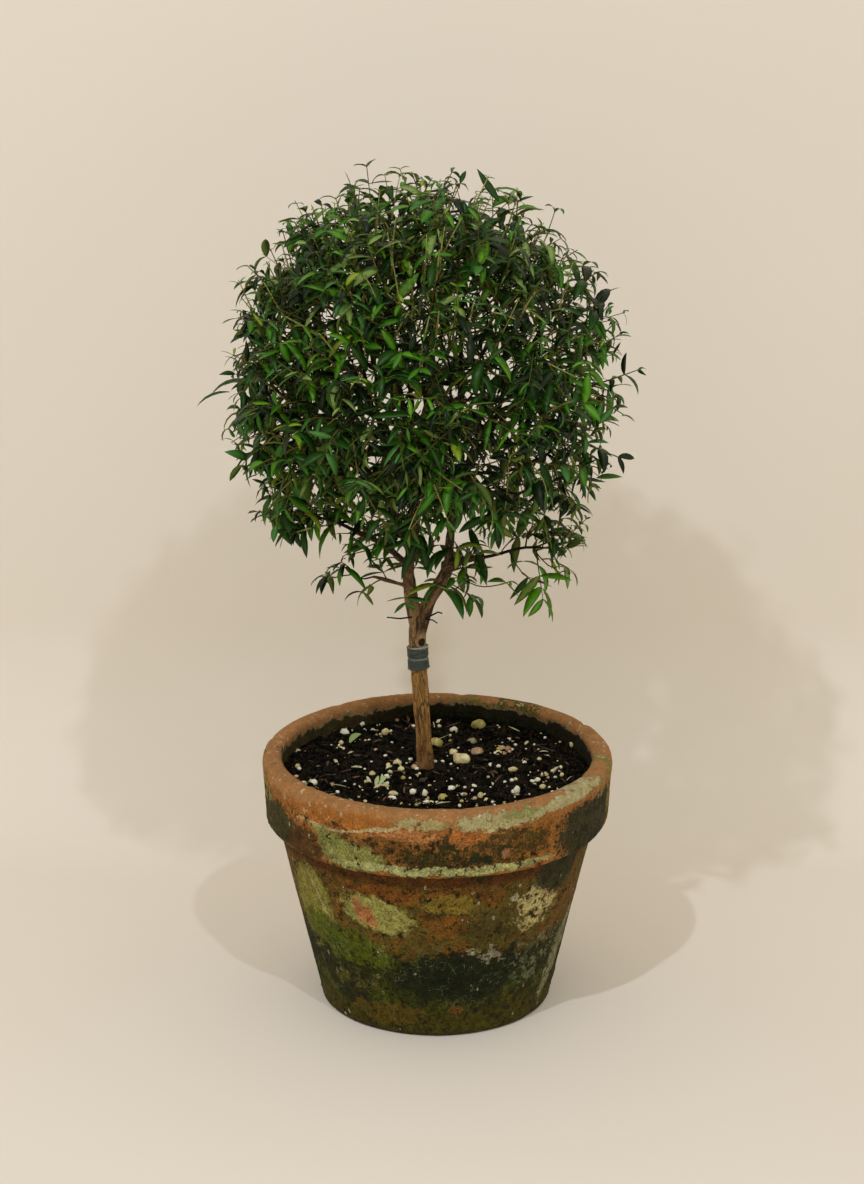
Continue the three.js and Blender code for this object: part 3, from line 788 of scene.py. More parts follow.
# Shreds and slivers lying on the soil: where they start, direction, length, width, rise, arch, colour
shreds = {
    "greenSliver": (-52, 44, 62, 15, 5.0, 30, 0.9, "freshGreen"),
    "barkShred": (44, 54, -14, 15, 4.0, 8, 0.5, "rust"),
    "darkShred": (-52, 17, 0, 14, 2.2, 4, 0.3, "umber"),
    "whiteSliver": (-50, 1, -24, 9, 2.4, 14, 0.4, "straw"),
    "rightSliver": (65, 26, -70, 10, 3.0, 22, 0.8, "straw"),
    "sproutOne": (-35, -33, 78, 9, 2.6, 42, 0.6, "greenish"),
    "sproutTwo": (-33, -33, 55, 10, 2.8, 36, 0.7, "greenish"),
    "sproutThree": (-38, -32, 110, 8, 2.2, 34, 0.5, "straw"),
    "sproutFour": (-31, -30, 95, 7, 2.4, 50, 0.5, "greenish"),
    "sproutFive": (-36, -36, 30, 7, 2.2, 20, 0.5, "straw"),
    "splinter": (69, -6, 60, 7, 1.8, 26, 0.5, "straw"),
    "frontShred": (12, -44, 4, 16, 2.4, 5, 0.3, "umber"),
    "leftThread": (-64, -26, -16, 18, 1.1, 10, 0.5, "straw"),
}
shredColours = {
    "freshGreen": (128, 150, 84), "rust": (112, 70, 44), "umber": (58, 44, 32),
    "straw": (190, 182, 140), "greenish": (170, 180, 128),
}
looseShreds = {
    "count": 120, "seed": 23, "reach": 0.93, "fold": 0.3,
    "drawn": ("umber", "umber", "rust", "straw", "umber"),
    # direction, length, width, rise and arch
    "ranges": ((-180, 180), (3, 12), (0.6, 2.2), (2, 22), (-0.2, 0.9)),
}


def soilHeight(x, y):
    # a low dome, plus broad lumps, folded noise for the clods, and a fine noise for the crumbs
    share = np.hypot(x, y) / soil["radius"]
    place = np.stack([x, y, np.zeros_like(x)], axis=-1)
    clods = 0.45 - np.abs(cloud(place, 5.2, 31, 3)) * 1.6
    relief = soil["lump"] * cloud(place, 21, 33, 2) + soil["clod"] * clods
    relief += soil["crumb"] * cloud(place, 1.7, 35, 2)
    fromStem = np.hypot(x - soil["stem"][0], y - soil["stem"][1])
    relief *= 0.25 + 0.75 * ease(fromStem, 6, 16)
    return soil["edge"] + (soil["crown"] - soil["edge"]) * (1 - share ** 2) + relief - soil["sunk"]


def soilMaterial():
    # near-black peat with brown clods
    material, tree, shader = newMaterial("peat", Specular_IOR_Level=0.05)
    mottle = mottled(objectPlace(tree), 0.009, 2.2)
    colour = mottle["Broad"].between((8, 7, 4), (19, 16, 9))
    feed(tree, shader, {
        "Base Color": colour.painted(mottle["Fine"].ease(0.66, 0.97), (56, 46, 28)),
        "Roughness": mottle["Fine"].ease(0.2, 0.8, 0.6, 0.95),
        "Normal": bumped(mottle["Fine"], 0.8, 0.0008)})
    return material


def makeSoil(material):
    # the filling as a turned grid: out along its hidden floor, up its wall and in over its rough top
    top = np.linspace(soil["radius"], 0.8, soil["rings"])
    floor = pot["floor"] + 0.3
    hidden = [[0.5, floor], [pot["well"], floor], [pot["wallAtCollar"], pot["collarBottom"]]]
    profile = np.concatenate([hidden, np.stack([top, np.full(len(top), soil["edge"])], axis=-1)])
    points = turned(profile, soil["sides"])[0]
    onTop = points[:, 2] > pot["collarBottom"]
    points[onTop, 2] = soilHeight(points[onTop, 0], points[onTop, 1])
    shape = closeTurned(points, soil["sides"], floor, points[-1, 2])
    finishPiece(makePiece("soilFilling", shape, [material]), "potting_soil", "soil")


def ballTemplate(level):
    shape = bmesh.new()
    bmesh.ops.create_icosphere(shape, subdivisions=level, radius=1)
    points = np.array([corner.co[:] for corner in shape.verts])
    triangles = np.array([[corner.index for corner in face.verts] for face in shape.faces])
    shape.free()
    return points, triangles


def pebbles(level, places, sizes, lumpiness, rng):
    # rough stones: each direction of a small ball times 1 plus a random lump, stretched to the stone's
    # size and turned about the upright
    template, faces = ballTemplate(level)
    count = len(places)
    lumps = 1 + lumpiness * rng.normal(size=(count, len(template)))
    points = template[None] * np.clip(lumps, 0.6, 1.4)[..., None] * sizes[:, None] / 2
    turn = rng.uniform(0, np.pi, count)
    x = points[..., 0] * np.cos(turn)[:, None] - points[..., 1] * np.sin(turn)[:, None]
    y = points[..., 0] * np.sin(turn)[:, None] + points[..., 1] * np.cos(turn)[:, None]
    points = np.stack([x, y, points[..., 2]], axis=-1) + places[:, None]
    triangles = faces[None] + (np.arange(count) * len(template))[:, None, None]
    return points.reshape(-1, 3), np.zeros((0, 4), int), triangles.reshape(-1, 3)


def scatterOnSoil(count, rng, reach):
    # places spread evenly over the soil's disc, outside the stem
    radius = soil["radius"] * reach * np.sqrt(rng.uniform(0, 1, count * 2))
    angle = rng.uniform(0, 2 * np.pi, count * 2)
    x, y = radius * np.cos(angle), radius * np.sin(angle)
    clear = np.hypot(x - soil["stem"][0], y - soil["stem"][1]) > 8
    return x[clear][:count], y[clear][:count]


def grainMaterial(name, colour, shade, shine=0.2):
    material, tree, shader = newMaterial(name, Specular_IOR_Level=shine)
    mottle = mottled(objectPlace(tree), 0.004, 1.4)
    feed(tree, shader, {
        "Base Color": mottle["Broad"].between(colour, shade),
        "Roughness": mottle["Fine"].ease(0, 1, 0.7, 0.95),
        "Normal": bumped(mottle["Fine"], 0.5, 0.0003)})
    return material


def makePebbles(name, shape, looks, kind):
    each = len(shape[2]) // len(kind)
    piece = makePiece(name, shape, [grainMaterial(*look) for look in looks], np.repeat(kind, each))
    finishPiece(piece, "potting_soil")


def makeGrains():
    # perlite and stones in five colours, and the dark crumbs of the mix
    kinds = list(grainLooks)
    rng = np.random.default_rng(looseGrains["seed"])
    listed = np.array([row[:5] for row in grains.values()], float)
    x, y = scatterOnSoil(looseGrains["count"], rng, looseGrains["reach"])
    count = len(x)
    gathering = np.flatnonzero(rng.random(count) < looseGrains["gathered"])
    heap = rng.integers(0, len(looseGrains["heaps"]), len(gathering))
    heaps = np.array(looseGrains["heaps"], float)[heap]
    x[gathering], y[gathering] = (heaps[:, :2] + heaps[:, 2:] * rng.normal(size=(len(heap), 2))).T
    outside = np.maximum(1, np.hypot(x, y) / (looseGrains["reach"] * soil["radius"]))
    x, y = x / outside, y / outside
    size = looseGrains["least"] + (looseGrains["most"] - looseGrains["least"]) * rng.random(count) ** 1.3
    loose = np.stack([x, y, size, size * rng.uniform(0.5, 1.0, count), size * rng.uniform(0.6, 0.9, count)],
                     axis=-1)
    rows = np.concatenate([listed, loose])
    kind = np.array([kinds.index(row[5]) for row in grains.values()]
                    + rng.choice([0, 0, 0, 1, 1, 2, 3], count).tolist())
    ground = soilHeight(rows[:, 0], rows[:, 1])
    places = np.stack([rows[:, 0], rows[:, 1], ground + rows[:, 4] * 0.22], axis=-1)
    makePebbles("perlite", pebbles(2, places, rows[:, 2:5], 0.09, rng), grainLooks.values(), kind)

    x, y = scatterOnSoil(soil["crumbs"], rng, 0.985)
    size = 0.8 + 4.2 * rng.random(len(x)) ** 2.5
    sizes = size[:, None] * rng.uniform(0.55, 1.1, (len(x), 3))
    places = np.stack([x, y, soilHeight(x, y) + 0.1 * size], axis=-1)
    shape = pebbles(1, places, sizes, 0.16, rng)
    makePebbles("soilCrumbs", shape, crumbLooks, rng.choice([0, 0, 0, 0, 1], len(x)))


def makeShreds():
    # bark shreds, dry slivers and sprouts as narrow blades that lie on the soil or stand in it
    names = list(shredColours)
    materials = plainMaterials({"shred" + name: shredColours[name] for name in names}, Roughness=0.75)
    rng = np.random.default_rng(looseShreds["seed"])
    rows = [list(row) for row in shreds.values()]
    for place in zip(*scatterOnSoil(looseShreds["count"], rng, looseShreds["reach"])):
        facts = [rng.uniform(*limits) for limits in looseShreds["ranges"]]
        rows.append([*place, *facts, looseShreds["drawn"][rng.integers(len(looseShreds["drawn"]))]])
    data = np.array([row[:7] for row in rows], float)
    kind = np.array([names.index(row[7]) for row in rows])
    heading, rise = np.radians(data[:, 2]), np.radians(data[:, 5])
    along = np.stack([np.cos(heading) * np.cos(rise), np.sin(heading) * np.cos(rise), np.sin(rise)], axis=-1)
    side = np.stack([-np.sin(heading), np.cos(heading), rng.uniform(-0.3, 0.3, len(data))], axis=-1)
    up = unit(np.cross(along, side))
    up *= np.sign(up[:, 2:] + 1e-9)
    base = np.stack([data[:, 0], data[:, 1], soilHeight(data[:, 0], data[:, 1]) + 0.5], axis=-1)
    shape, owner = bladeShapes(
        base, along, up, data[:, 3], data[:, 4], data[:, 6], np.full(len(data), looseShreds["fold"]),
        rng.uniform(-0.6, 0.6, len(data)))[:2]
    finishPiece(makePiece("shreds", shape, materials, kind[owner], sharpAngle=70), "potting_soil")


moss = {
    "from": -160, "to": 128, "sides": 760, "across": 22,  # azimuth range, through the back
    "top": 148.6, "bottom": 138.2, "thickness": 3.4, "lump": 1.1,
    "patchRadius": 92,  # the radius at which its patches and tufts are measured
}


def makeMoss(material):
    # a cushion of moss against the inside of the rim: for each azimuth a bulge thickness * sin(pi s)
    # between its top on the clay and its foot on the soil, broken up by noise
    azimuth = np.radians(np.linspace(moss["from"] + 360, moss["to"], moss["sides"]))[:, None]
    s = np.linspace(0, 1, moss["across"])[None]
    ring = np.stack([np.sin(azimuth[:, 0]), -np.cos(azimuth[:, 0]), np.zeros(moss["sides"])], axis=-1)
    patchy = cloud(ring * moss["patchRadius"], 24, 41, 2)
    ends = np.sin(np.linspace(0, np.pi, moss["sides"])) ** 0.35
    tufts = cloud(ring * moss["patchRadius"], 5, 42, 2)
    strength = (ends * np.clip(0.8 + 0.7 * patchy + 0.45 * tufts, 0.3, 1.2))[:, None]
    top = moss["bottom"] + (moss["top"] - moss["bottom"]) * np.clip(strength * 0.95, 0.15, 1)
    height = top + (moss["bottom"] - top) * s
    bulge = moss["thickness"] * strength * np.sin(np.pi * s) ** 0.7 - 0.5 + 0.9 * s
    radius = pot["mouthRadius"] + 0.3 - bulge
    points = np.stack([radius * ring[:, :1], radius * ring[:, 1:2], height], axis=-1).reshape(-1, 3)
    outward = np.repeat(-ring, moss["across"], axis=0)
    lumps = cloud(points, 2.6, 43, 2) + 0.7 * cloud(points, 0.9, 45)
    inside = (np.sin(np.pi * s) * np.ones_like(azimuth)).ravel()
    points += (outward + [0, 0, 0.5]) * (moss["lump"] * lumps * inside)[:, None]
    back = (pot["mouthRadius"] + 1) * ring + [0, 0, moss["bottom"] - 1]
    grid = np.concatenate([points.reshape(moss["sides"], moss["across"], 3), back[:, None]], axis=1)
    columns = moss["across"] + 1
    points = np.concatenate([grid.reshape(-1, 3), [grid[0].mean(0), grid[-1].mean(0)]])
    shape = points, gridQuads(moss["sides"], columns), endFans(moss["sides"] * columns, columns)
    finishPiece(makePiece("moss", shape, [material]), "potting_soil")


def mossMaterial():
    # olive on the left, green-black elsewhere
    material, tree, shader = newMaterial("moss", Specular_IOR_Level=0.15)
    place = objectPlace(tree)
    mottle = mottled(place, 0.014, 2.0)
    green = mottle["Fine"].between((10, 11, 4), (34, 36, 12))
    colour = mottle["Fine"].between((34, 30, 10), (76, 70, 28))
    colour = colour.painted(axesOf(place)[0].ease(-0.045, -0.01), green)
    feed(tree, shader, {
        "Base Color": colour.painted(mottle["Broad"], (26, 22, 12), 0.5),
        "Roughness": mottle["Broad"].ease(0, 1, 0.85, 1.0),
        "Normal": bumped(mottle["Fine"], 0.9, 0.0008)})
    return material


makeSoil(soilMaterial())
makeGrains()
makeShreds()
makeMoss(mossMaterial())
print("stage 4: soil, grains and moss")


def solidPoints(name):
    # the separate corners of a CAD node, in mm
    points = readArray(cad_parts[name].data.vertices, "co")
    return np.unique(np.round(points / mm, 3), axis=0)


def solidTriangles(name):
    # the three corners of each facet of a CAD node, in mm
    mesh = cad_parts[name].data
    mesh.calc_loop_triangles()
    return (readArray(mesh.vertices, "co") / mm)[readArray(mesh.loop_triangles, "vertices", np.int32)]


def readLimb(name, slices):
    # a limb's middle line and radius, read off its CAD solid by slicing it across its long direction:
    # each slice's outline gives a middle and, from its length around, a radius
    corners = solidTriangles(name)
    points = corners.reshape(-1, 3)
    axis = np.linalg.svd(points - points.mean(0), full_matrices=False)[2][0]
    axis *= np.sign(axis[2])
    low, high = (points @ axis).min(), (points @ axis).max()
    places = low + (high - low) * np.linspace(*wood["sliced"], slices)
    following = np.roll(corners, -1, axis=1)
    middles, arounds = [], []
    for place in places:
        here, there = corners @ axis - place, following @ axis - place
        crossed = here * there < 0
        share = np.where(crossed, here / np.where(crossed, here - there, 1), 0)[..., None]
        cut = (corners + share * (following - corners)) * crossed[..., None]
        twice = crossed.sum(axis=1) == 2
        cuts = cut[twice][crossed[twice]].reshape(-1, 2, 3)
        lengths = np.linalg.norm(cuts[:, 0] - cuts[:, 1], axis=1)
        middles.append((cuts.mean(axis=1) * lengths[:, None]).sum(0) / lengths.sum())
        arounds.append(lengths.sum())
    middles = np.array(middles)
    slant = np.abs(unit(np.gradient(middles, axis=0)) @ axis)
    return middles, np.array(arounds) / (np.pi * (1 + 1 / slant))


wood = {
    "slices": {"trunk": 16, "leader": 12, "bough_right": 6},
    "otherSlices": 6, "sliced": (0.07, 0.94),  # the shares of a limb's length between which it is sliced
    "rootIn": 7,  # how far a bough's root reaches into what it grows from
    "forked": ("leader", "bough_right"),  # the limbs that the stem divides into
    "forkRow": -10,  # the row of the stem's line that they start from
    "footLead": (0.3, 2.0), "footWiden": 1.08,  # how the stem is led on sideways and down into the soil
    "narrowing": (0.95, 0.62, 5),  # from, to and over how many rows the stem narrows at its fork
    "smoothing": 6,
    "sides": 20, "step": 1.2, "voxel": 0.42,
    "ridge": 0.34, "crack": 0.3, "grain": 0.16, "buckled": 0.5,  # how far each kind of relief stands out
    "collarFlare": 0.7, "knot": (-8.0, -4.9, 221.6), "knotSize": 2.9,
}
limbNames = ["trunk", "leader", "bough_right", "bough_left_upper", "bough_left", "twig_left_low",
             "bough_back", "bough_right_upper", "bough_shelf"]


def readLimbs():
    # all limbs, smoothed, with their roots led on into their parents and the stem into the soil
    limbs = {}
    for name in limbNames:
        line, radius = readLimb(name, wood["slices"].get(name, wood["otherSlices"]))
        start = line[0] - unit(line[1] - line[0]) * wood["rootIn"]
        startRadius = radius[0]
        if name == "trunk":
            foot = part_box("trunk")[0][2] / mm
            start = np.array([line[0][0] + wood["footLead"][0], 0, foot - wood["footLead"][1]])
            startRadius = radius[0] * wood["footWiden"]
        both = np.vstack([[*start, startRadius], np.column_stack([line, radius])])
        if name in wood["forked"]:
            both[0, :3] = limbs["trunk"][wood["forkRow"], :3]
        even = resample(both, wood["step"])
        if name == "trunk":
            even[-wood["narrowing"][2]:, 3] *= np.linspace(*wood["narrowing"])
        for _ in range(wood["smoothing"]):
            even[1:-1] = 0.25 * even[:-2] + 0.5 * even[1:-1] + 0.25 * even[2:]
        limbs[name] = even
    return limbs


def barkMaterial():
    # tan bark with long dark cracks low on the stem, darker and greyer brown above the tie, and darkest from
    # just under the crown and out along the boughs, partly their darker bark and partly painted shade of the
    # crown;
    # its grain follows each limb through the mesh's own attribute
    material, tree, shader = newMaterial("bark", Specular_IOR_Level=0.3)
    along = addNode(tree, "ShaderNodeAttribute", attribute_name="grain")["Vector"]
    place = objectPlace(tree)
    mottle = mottled(along, 0.003, 1.8)
    level = axesOf(place)[2] + (place.noise(0.007, 3) - 0.5) * 0.04
    blotchy = mottle["Broad"] * 0.4 + place.noise(0.01, 3)
    tan = mottle["Broad"].between((184, 136, 66), (128, 88, 36))
    upper = blotchy.ease(0.56, 0.84).between((156, 122, 82), (60, 40, 19))
    # the darkest browns from just under the crown up: partly the boughs' darker bark, partly painted shade of
    # the crown
    bough = mottle["Broad"].between((66, 46, 24), (34, 24, 12))
    colour = tan.painted(level.ease(0.208, 0.222), upper).painted(level.ease(0.240, 0.275), bough)
    colour = colour.painted(level.ease(0.158, 0.144), (84, 44, 22), 0.75)

    edges = addNode(tree, "ShaderNodeTexVoronoi", {"Vector": along, "Scale": 300.0},
                    feature="DISTANCE_TO_EDGE")[0]
    crack = edges.ease(0.075, 0.02) * place.noise(0.012, 2).ease(0.4, 0.56)
    axes = axesOf(along)
    for slope in (1.5, -1.3):
        leaning = addNode(tree, "ShaderNodeCombineXYZ", {
            0: axes[0] + axes[2] * slope, 1: axes[1], 2: axes[2] * 0.4})[0]
        line = abs(leaning.noise(0.0042, 2, 0.5) - 0.5)
        crack = crack.math("MAXIMUM", line.ease(0.013, 0.004))
    crack = crack * level.ease(0.245, 0.205, 0.35, 1)
    colour = colour.painted(crack, (46, 27, 12), 0.85)

    fromKnot = addNode(tree, "ShaderNodeVectorMath", {
        0: place, 1: [value * mm for value in wood["knot"]]}, operation="DISTANCE")["Value"]
    fromKnot = fromKnot / (wood["knotSize"] * mm)
    colour = colour.painted(fromKnot.ease(0.75, 0.9) * fromKnot.ease(1.6, 1.1), (176, 142, 98), 0.6)
    colour = colour.painted(fromKnot.ease(0.95, 0.72), (34, 20, 10))
    feed(tree, shader, {
        "Base Color": colour.painted(mottle["Fine"].ease(0.6, 0.95), (176, 146, 100), 0.35),
        "Roughness": mottle["Fine"].ease(0, 1, 0.62, 0.9),
        "Normal": bumped(mottle["Fine"] - crack * 1.2, 0.7, 0.0005)})
    return material


def limbCoordinates(points, limbs):
    # for each point: its nearest limb's middle line, how far along it lies, and its offset across it
    line = np.concatenate([limb[:, :3] for limb in limbs.values()])
    tangent = np.concatenate([unit(np.gradient(limb[:, :3], axis=0)) for limb in limbs.values()])
    length = np.concatenate([np.arange(len(limb)) * wood["step"] + 100 * k
                             for k, limb in enumerate(limbs.values())])
    nearest = np.zeros(len(points), int)
    for start in range(0, len(points), batch):
        gap = points[start:start + batch, None] - line[None]
        nearest[start:start + batch] = np.argmin((gap ** 2).sum(-1), axis=1)
    offset = points - line[nearest]
    past = (offset * tangent[nearest]).sum(-1)
    across = offset - past[:, None] * tangent[nearest]
    return length[nearest] + past, across, tangent[nearest]


def makeWood(limbs, material):
    # the limbs as tubes, melted into one skin, then given long ridges and a fine grain of bark
    shapes = [tube(limb[:, :3], limb[:, 3], wood["sides"]) for limb in limbs.values()]
    piece = makePiece("stemAndBoughs", joined(shapes), [material])
    melt = piece.modifiers.new("melt", "REMESH")
    melt.mode = "VOXEL"
    melt.voxel_size = wood["voxel"] * mm
    smooth = piece.modifiers.new("smooth", "SMOOTH")
    smooth.factor, smooth.iterations = 0.5, 4
    evaluated = piece.evaluated_get(bpy.context.evaluated_depsgraph_get())
    skin = bpy.data.meshes.new_from_object(evaluated)
    piece.modifiers.clear()
    piece.data = skin
    skin.name = "stemAndBoughs"
    skin.shade_smooth()
    points, normals = (readArray(skin.vertices, field).astype(float) for field in ("co", "normal"))
    points /= mm
    along, across, tangent = limbCoordinates(points, limbs)
    side = unit(np.cross(tangent, [0.0, 1.0, 0.0]))
    front = np.cross(tangent, side)
    grain = np.stack([(across * side).sum(-1), (across * front).sum(-1), along * 0.16], axis=-1)
    cracks = ease(-np.abs(cloud(grain, 3.1, 53)), -0.08, 0)
    ridges = wood["ridge"] * cloud(grain, 2.3, 51, 2) - wood["crack"] * cracks
    relief = ridges + wood["grain"] * cloud(grain, 0.9, 55, 2) + wood["buckled"] * cloud(points, 8, 57, 2)
    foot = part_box("trunk")[0][2] / mm
    low = np.exp(-np.clip(points[:, 2] - foot, 0, None) / 4)
    angle = np.arctan2(points[:, 1], points[:, 0] - soil["stem"][0])
    relief += wood["collarFlare"] * low * (0.35 + 0.65 * np.sin(angle * 3 + 0.8) * cloud(points, 6, 59))
    fromKnot = np.linalg.norm(points - wood["knot"], axis=1) / wood["knotSize"]
    relief += 0.9 * np.exp(-(fromKnot - 1.0) ** 2 * 9) - 1.5 * np.exp(-fromKnot ** 2 * 4)
    points += normals * relief[:, None]
    skin.vertices.foreach_set("co", (points * mm).ravel().astype(np.float32))
    attribute = skin.attributes.new("grain", "FLOAT_VECTOR", "POINT")
    attribute.data.foreach_set("vector", (grain * mm).ravel().astype(np.float32))
    skin.update()
    finishPiece(piece, "bark", *limbNames)
    print("   wood triangles:", 2 * len(skin.polygons))


tieBand = {"wide": 14, "thickness": 1.4, "clear": 0.1, "sides": 160, "step": 0.35, "sag": 1.6}


def makeTie(limbs, material):
    # two turns of tape round the stem: an outline with two flat ridges and rolled edges, turned about
    # the stem's own line, creased and pushed a little out of true
    low, high = (np.array(corner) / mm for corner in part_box("tie"))
    middle = (low[2] + high[2]) / 2
    trunk = limbs["trunk"]

    def stemAt(height, column):
        return np.interp(height, trunk[:, 2], trunk[:, column])

    lean = (stemAt(high[2], 0) - stemAt(low[2], 0)) / (high[2] - low[2])
    inner = stemAt(middle, 3) + tieBand["clear"]
    half = tieBand["wide"] / 2
    s = np.arange(-half, half + 0.01, tieBand["step"])
    ridge = np.abs(np.sin(np.pi * (s + half) / half)) ** 0.35
    groove = np.exp(-(s / 0.5) ** 2)
    outer = inner + tieBand["thickness"] * (0.72 + 0.28 * ridge) - 0.45 * groove
    rim = 0.45 * np.exp(-((np.abs(s) - half + 0.5) / 0.5) ** 2)
    outside = np.stack([outer + rim, s], axis=-1)
    inside = np.stack([np.full(len(s), inner), s[::-1]], axis=-1)
    profile = np.concatenate([outside, inside])
    points, normal, azimuth = turned(profile, tieBand["sides"])
    wave = 0.30 * cloud(points * [1, 1, 0.7], 6, 61, 2) + 0.10 * cloud(points * [1, 1, 3], 2.0, 63)
    moved = np.repeat(np.concatenate([np.ones(len(s)), np.zeros(len(s))]), tieBand["sides"])
    points += normal * (wave * moved)[:, None]
    points[:, 2] += tieBand["sag"] * 0.5 * np.sin(np.radians(azimuth) + 0.6)
    points[:, 0] += lean * points[:, 2]
    points += [stemAt(middle, 0), stemAt(middle, 1), middle]
    quads = gridQuads(len(profile) + 1, tieBand["sides"]) % len(points)
    finishPiece(makePiece("tieTape", (points, quads, ()), [material]), "tie_tape", "tie")


def tieMaterial():
    # dark green-grey tape with pale edges, painted highlights in fine pale streaks, and a pale line
    # where its turns meet
    material, tree, shader = newMaterial("tapeRubber", Specular_IOR_Level=0.4)
    place = objectPlace(tree)
    mottle = mottled(place.stretched((1, 1, 5)), 0.006, 1.8)
    low, high = (corner[2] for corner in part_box("tie"))
    middle, half = (low + high) / 2, (high - low) / 2
    fromMiddle = abs(axesOf(place)[2] - middle)
    colour = mottle["Broad"].between((32, 40, 35), (58, 67, 58))
    # fine pale streaks along the tape: painted highlights
    colour = colour.painted(mottle["Fine"].ease(0.6, 1.0, 0, 0.4), (104, 112, 100))
    colour = colour.painted(fromMiddle.ease(0.0009, 0.0003), (150, 156, 142), 0.3)
    edge = (fromMiddle + mottle["Fine"] * 0.001).ease(half * 0.93, half * 1.03)
    feed(tree, shader, {
        "Base Color": colour.painted(edge, (158, 166, 152), 0.85),
        "Roughness": mottle["Fine"].ease(0, 1, 0.42, 0.7),
        "Normal": bumped(mottle["Fine"], 0.4, 0.0003)})
    return material


limbs = readLimbs()
makeWood(limbs, barkMaterial())
makeTie(limbs, tieMaterial())
print("stage 5: stem, boughs and tie")

crown = {
    "step": 5.0, "reach": 90, "spent": 5.5, "stiffness": 0.35, "waver": 0.22, "rounds": 70,
    "tipRadius": 0.36, "forkPower": 2.4, "shareOfLimb": 0.8, "thinning": 0.985, "rootFlare": 1.15,
    "givingUp": 1.2,  # how fast a target that no twig comes nearer to is given up
    "depthStride": 0.7549,  # from one target's depth to the next's, which spreads them evenly
    "sharpness": 500,  # how closely a mass's reach follows its solid's own bumps
}
# Each mass of foliage: the limbs it grows on from, the share of their length after which twigs start, the
# number of places its twigs are drawn to, how deep those lie (as shares of the mass's reach), and its seed
masses = {
    "foliage_ball": dict(grownFrom=("leader", "bough_left_upper", "bough_right_upper"), least=0.55,
                         targets=1120, inner=0.04, outer=0.86, seed=113),
    "foliage_skirt_left": dict(grownFrom=("bough_left",), least=0.4, targets=100, inner=0.05, outer=0.66,
                               seed=102),
    "foliage_skirt_back": dict(grownFrom=("bough_back",), least=0.4, targets=150, inner=0.05, outer=0.8,
                               seed=103),
    "foliage_shelf_right": dict(grownFrom=("bough_shelf",), least=0.25, targets=24, inner=0.1, outer=0.75,
                                seed=104),
    "foliage_spray_left": dict(grownFrom=("twig_left_low",), least=0.45, targets=9, inner=0.1, outer=0.75,
                               seed=105),
    "foliage_spray_right": dict(grownFrom=("bough_right",), least=0.6, targets=6, inner=0.1, outer=0.75,
                                seed=106),
}
goldenAngle = math.pi * (3 - math.sqrt(5))


def massMiddle(name):
    low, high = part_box(name)
    return (np.array(low) + np.array(high)) / 2 / mm


def massReach(name, directions):
    # how far a mass's solid reaches from its middle in each direction: the distances of its corners,
    # weighed by exp(sharpness * (cos of the angle to the corner - 1))
    corners = solidPoints(name) - massMiddle(name)
    far = np.linalg.norm(corners, axis=1)
    aims = corners / far[:, None]
    reach = np.zeros(len(directions))
    for start in range(0, len(directions), batch):
        near = directions[start:start + batch] @ aims.T
        weight = np.exp(crown["sharpness"] * (near - near.max(axis=1, keepdims=True)))
        reach[start:start + batch] = (weight * far).sum(1) / weight.sum(1)
    return reach


def massTargets(name, facts, rng):
    # places for twigs to grow to, spread evenly through the volume between two shares of the reach: one
    # golden angle on from another round the mass as they go down it, each pushed a little off its place
    count = facts["targets"]
    order = np.arange(count) + 0.5
    height, azimuth = 1 - 2 * order / count, order * goldenAngle
    flat = np.sqrt(1 - height ** 2)
    directions = np.stack([flat * np.cos(azimuth), flat * np.sin(azimuth), height], axis=-1)
    directions = unit(directions + 1.3 / np.sqrt(count) * rng.normal(size=(count, 3)))
    volume = (order * crown["depthStride"] + rng.uniform(-0.08, 0.08, count)) % 1
    share = np.cbrt(facts["inner"] ** 3 + (facts["outer"] ** 3 - facts["inner"] ** 3) * volume)
    return massMiddle(name) + directions * (massReach(name, directions) * share)[:, None]


def growTwigs(points, targets, rng):
    # the branching rule: every target pulls the twig point nearest to it; each pulled point grows one
    # step along the mean of its pulls and its own heading; a target is spent once a twig comes near it
    parents = np.full(len(points), -1)
    heading = np.zeros_like(points)
    gap = np.linalg.norm(targets[:, None] - points[None], axis=-1)
    nearest, distance = gap.argmin(axis=1), gap.min(axis=1)
    for _ in range(crown["rounds"]):
        pulled = (distance > crown["spent"]) & (distance < crown["reach"])
        if not pulled.any():
            break
        pull = np.zeros_like(points)
        np.add.at(pull, nearest[pulled], unit(targets[pulled] - points[nearest[pulled]]))
        growing = np.flatnonzero(np.abs(pull).sum(axis=1) > 0)
        way = unit(pull[growing]) + crown["stiffness"] * heading[growing]
        way = unit(way + crown["waver"] * rng.normal(size=way.shape))
        fresh = points[growing] + crown["step"] * way
        gap = np.linalg.norm(targets[:, None] - fresh[None], axis=-1)
        closer = gap.min(axis=1) < distance - 0.05
        nearest = np.where(closer, len(points) + gap.argmin(axis=1), nearest)
        distance = np.where(closer, gap.min(axis=1), distance)
        distance = np.where(pulled & ~closer, distance - crown["givingUp"], distance)
        kept = np.flatnonzero(np.isin(np.arange(len(fresh)) + len(points), nearest))
        renumber = np.zeros(len(points) + len(fresh), int)
        renumber[:len(points)] = np.arange(len(points))
        renumber[len(points) + kept] = len(points) + np.arange(len(kept))
        nearest = renumber[nearest]
        points = np.concatenate([points, fresh[kept]])
        parents = np.concatenate([parents, growing[kept]])
        heading = np.concatenate([heading, way[kept]])
    return points, parents


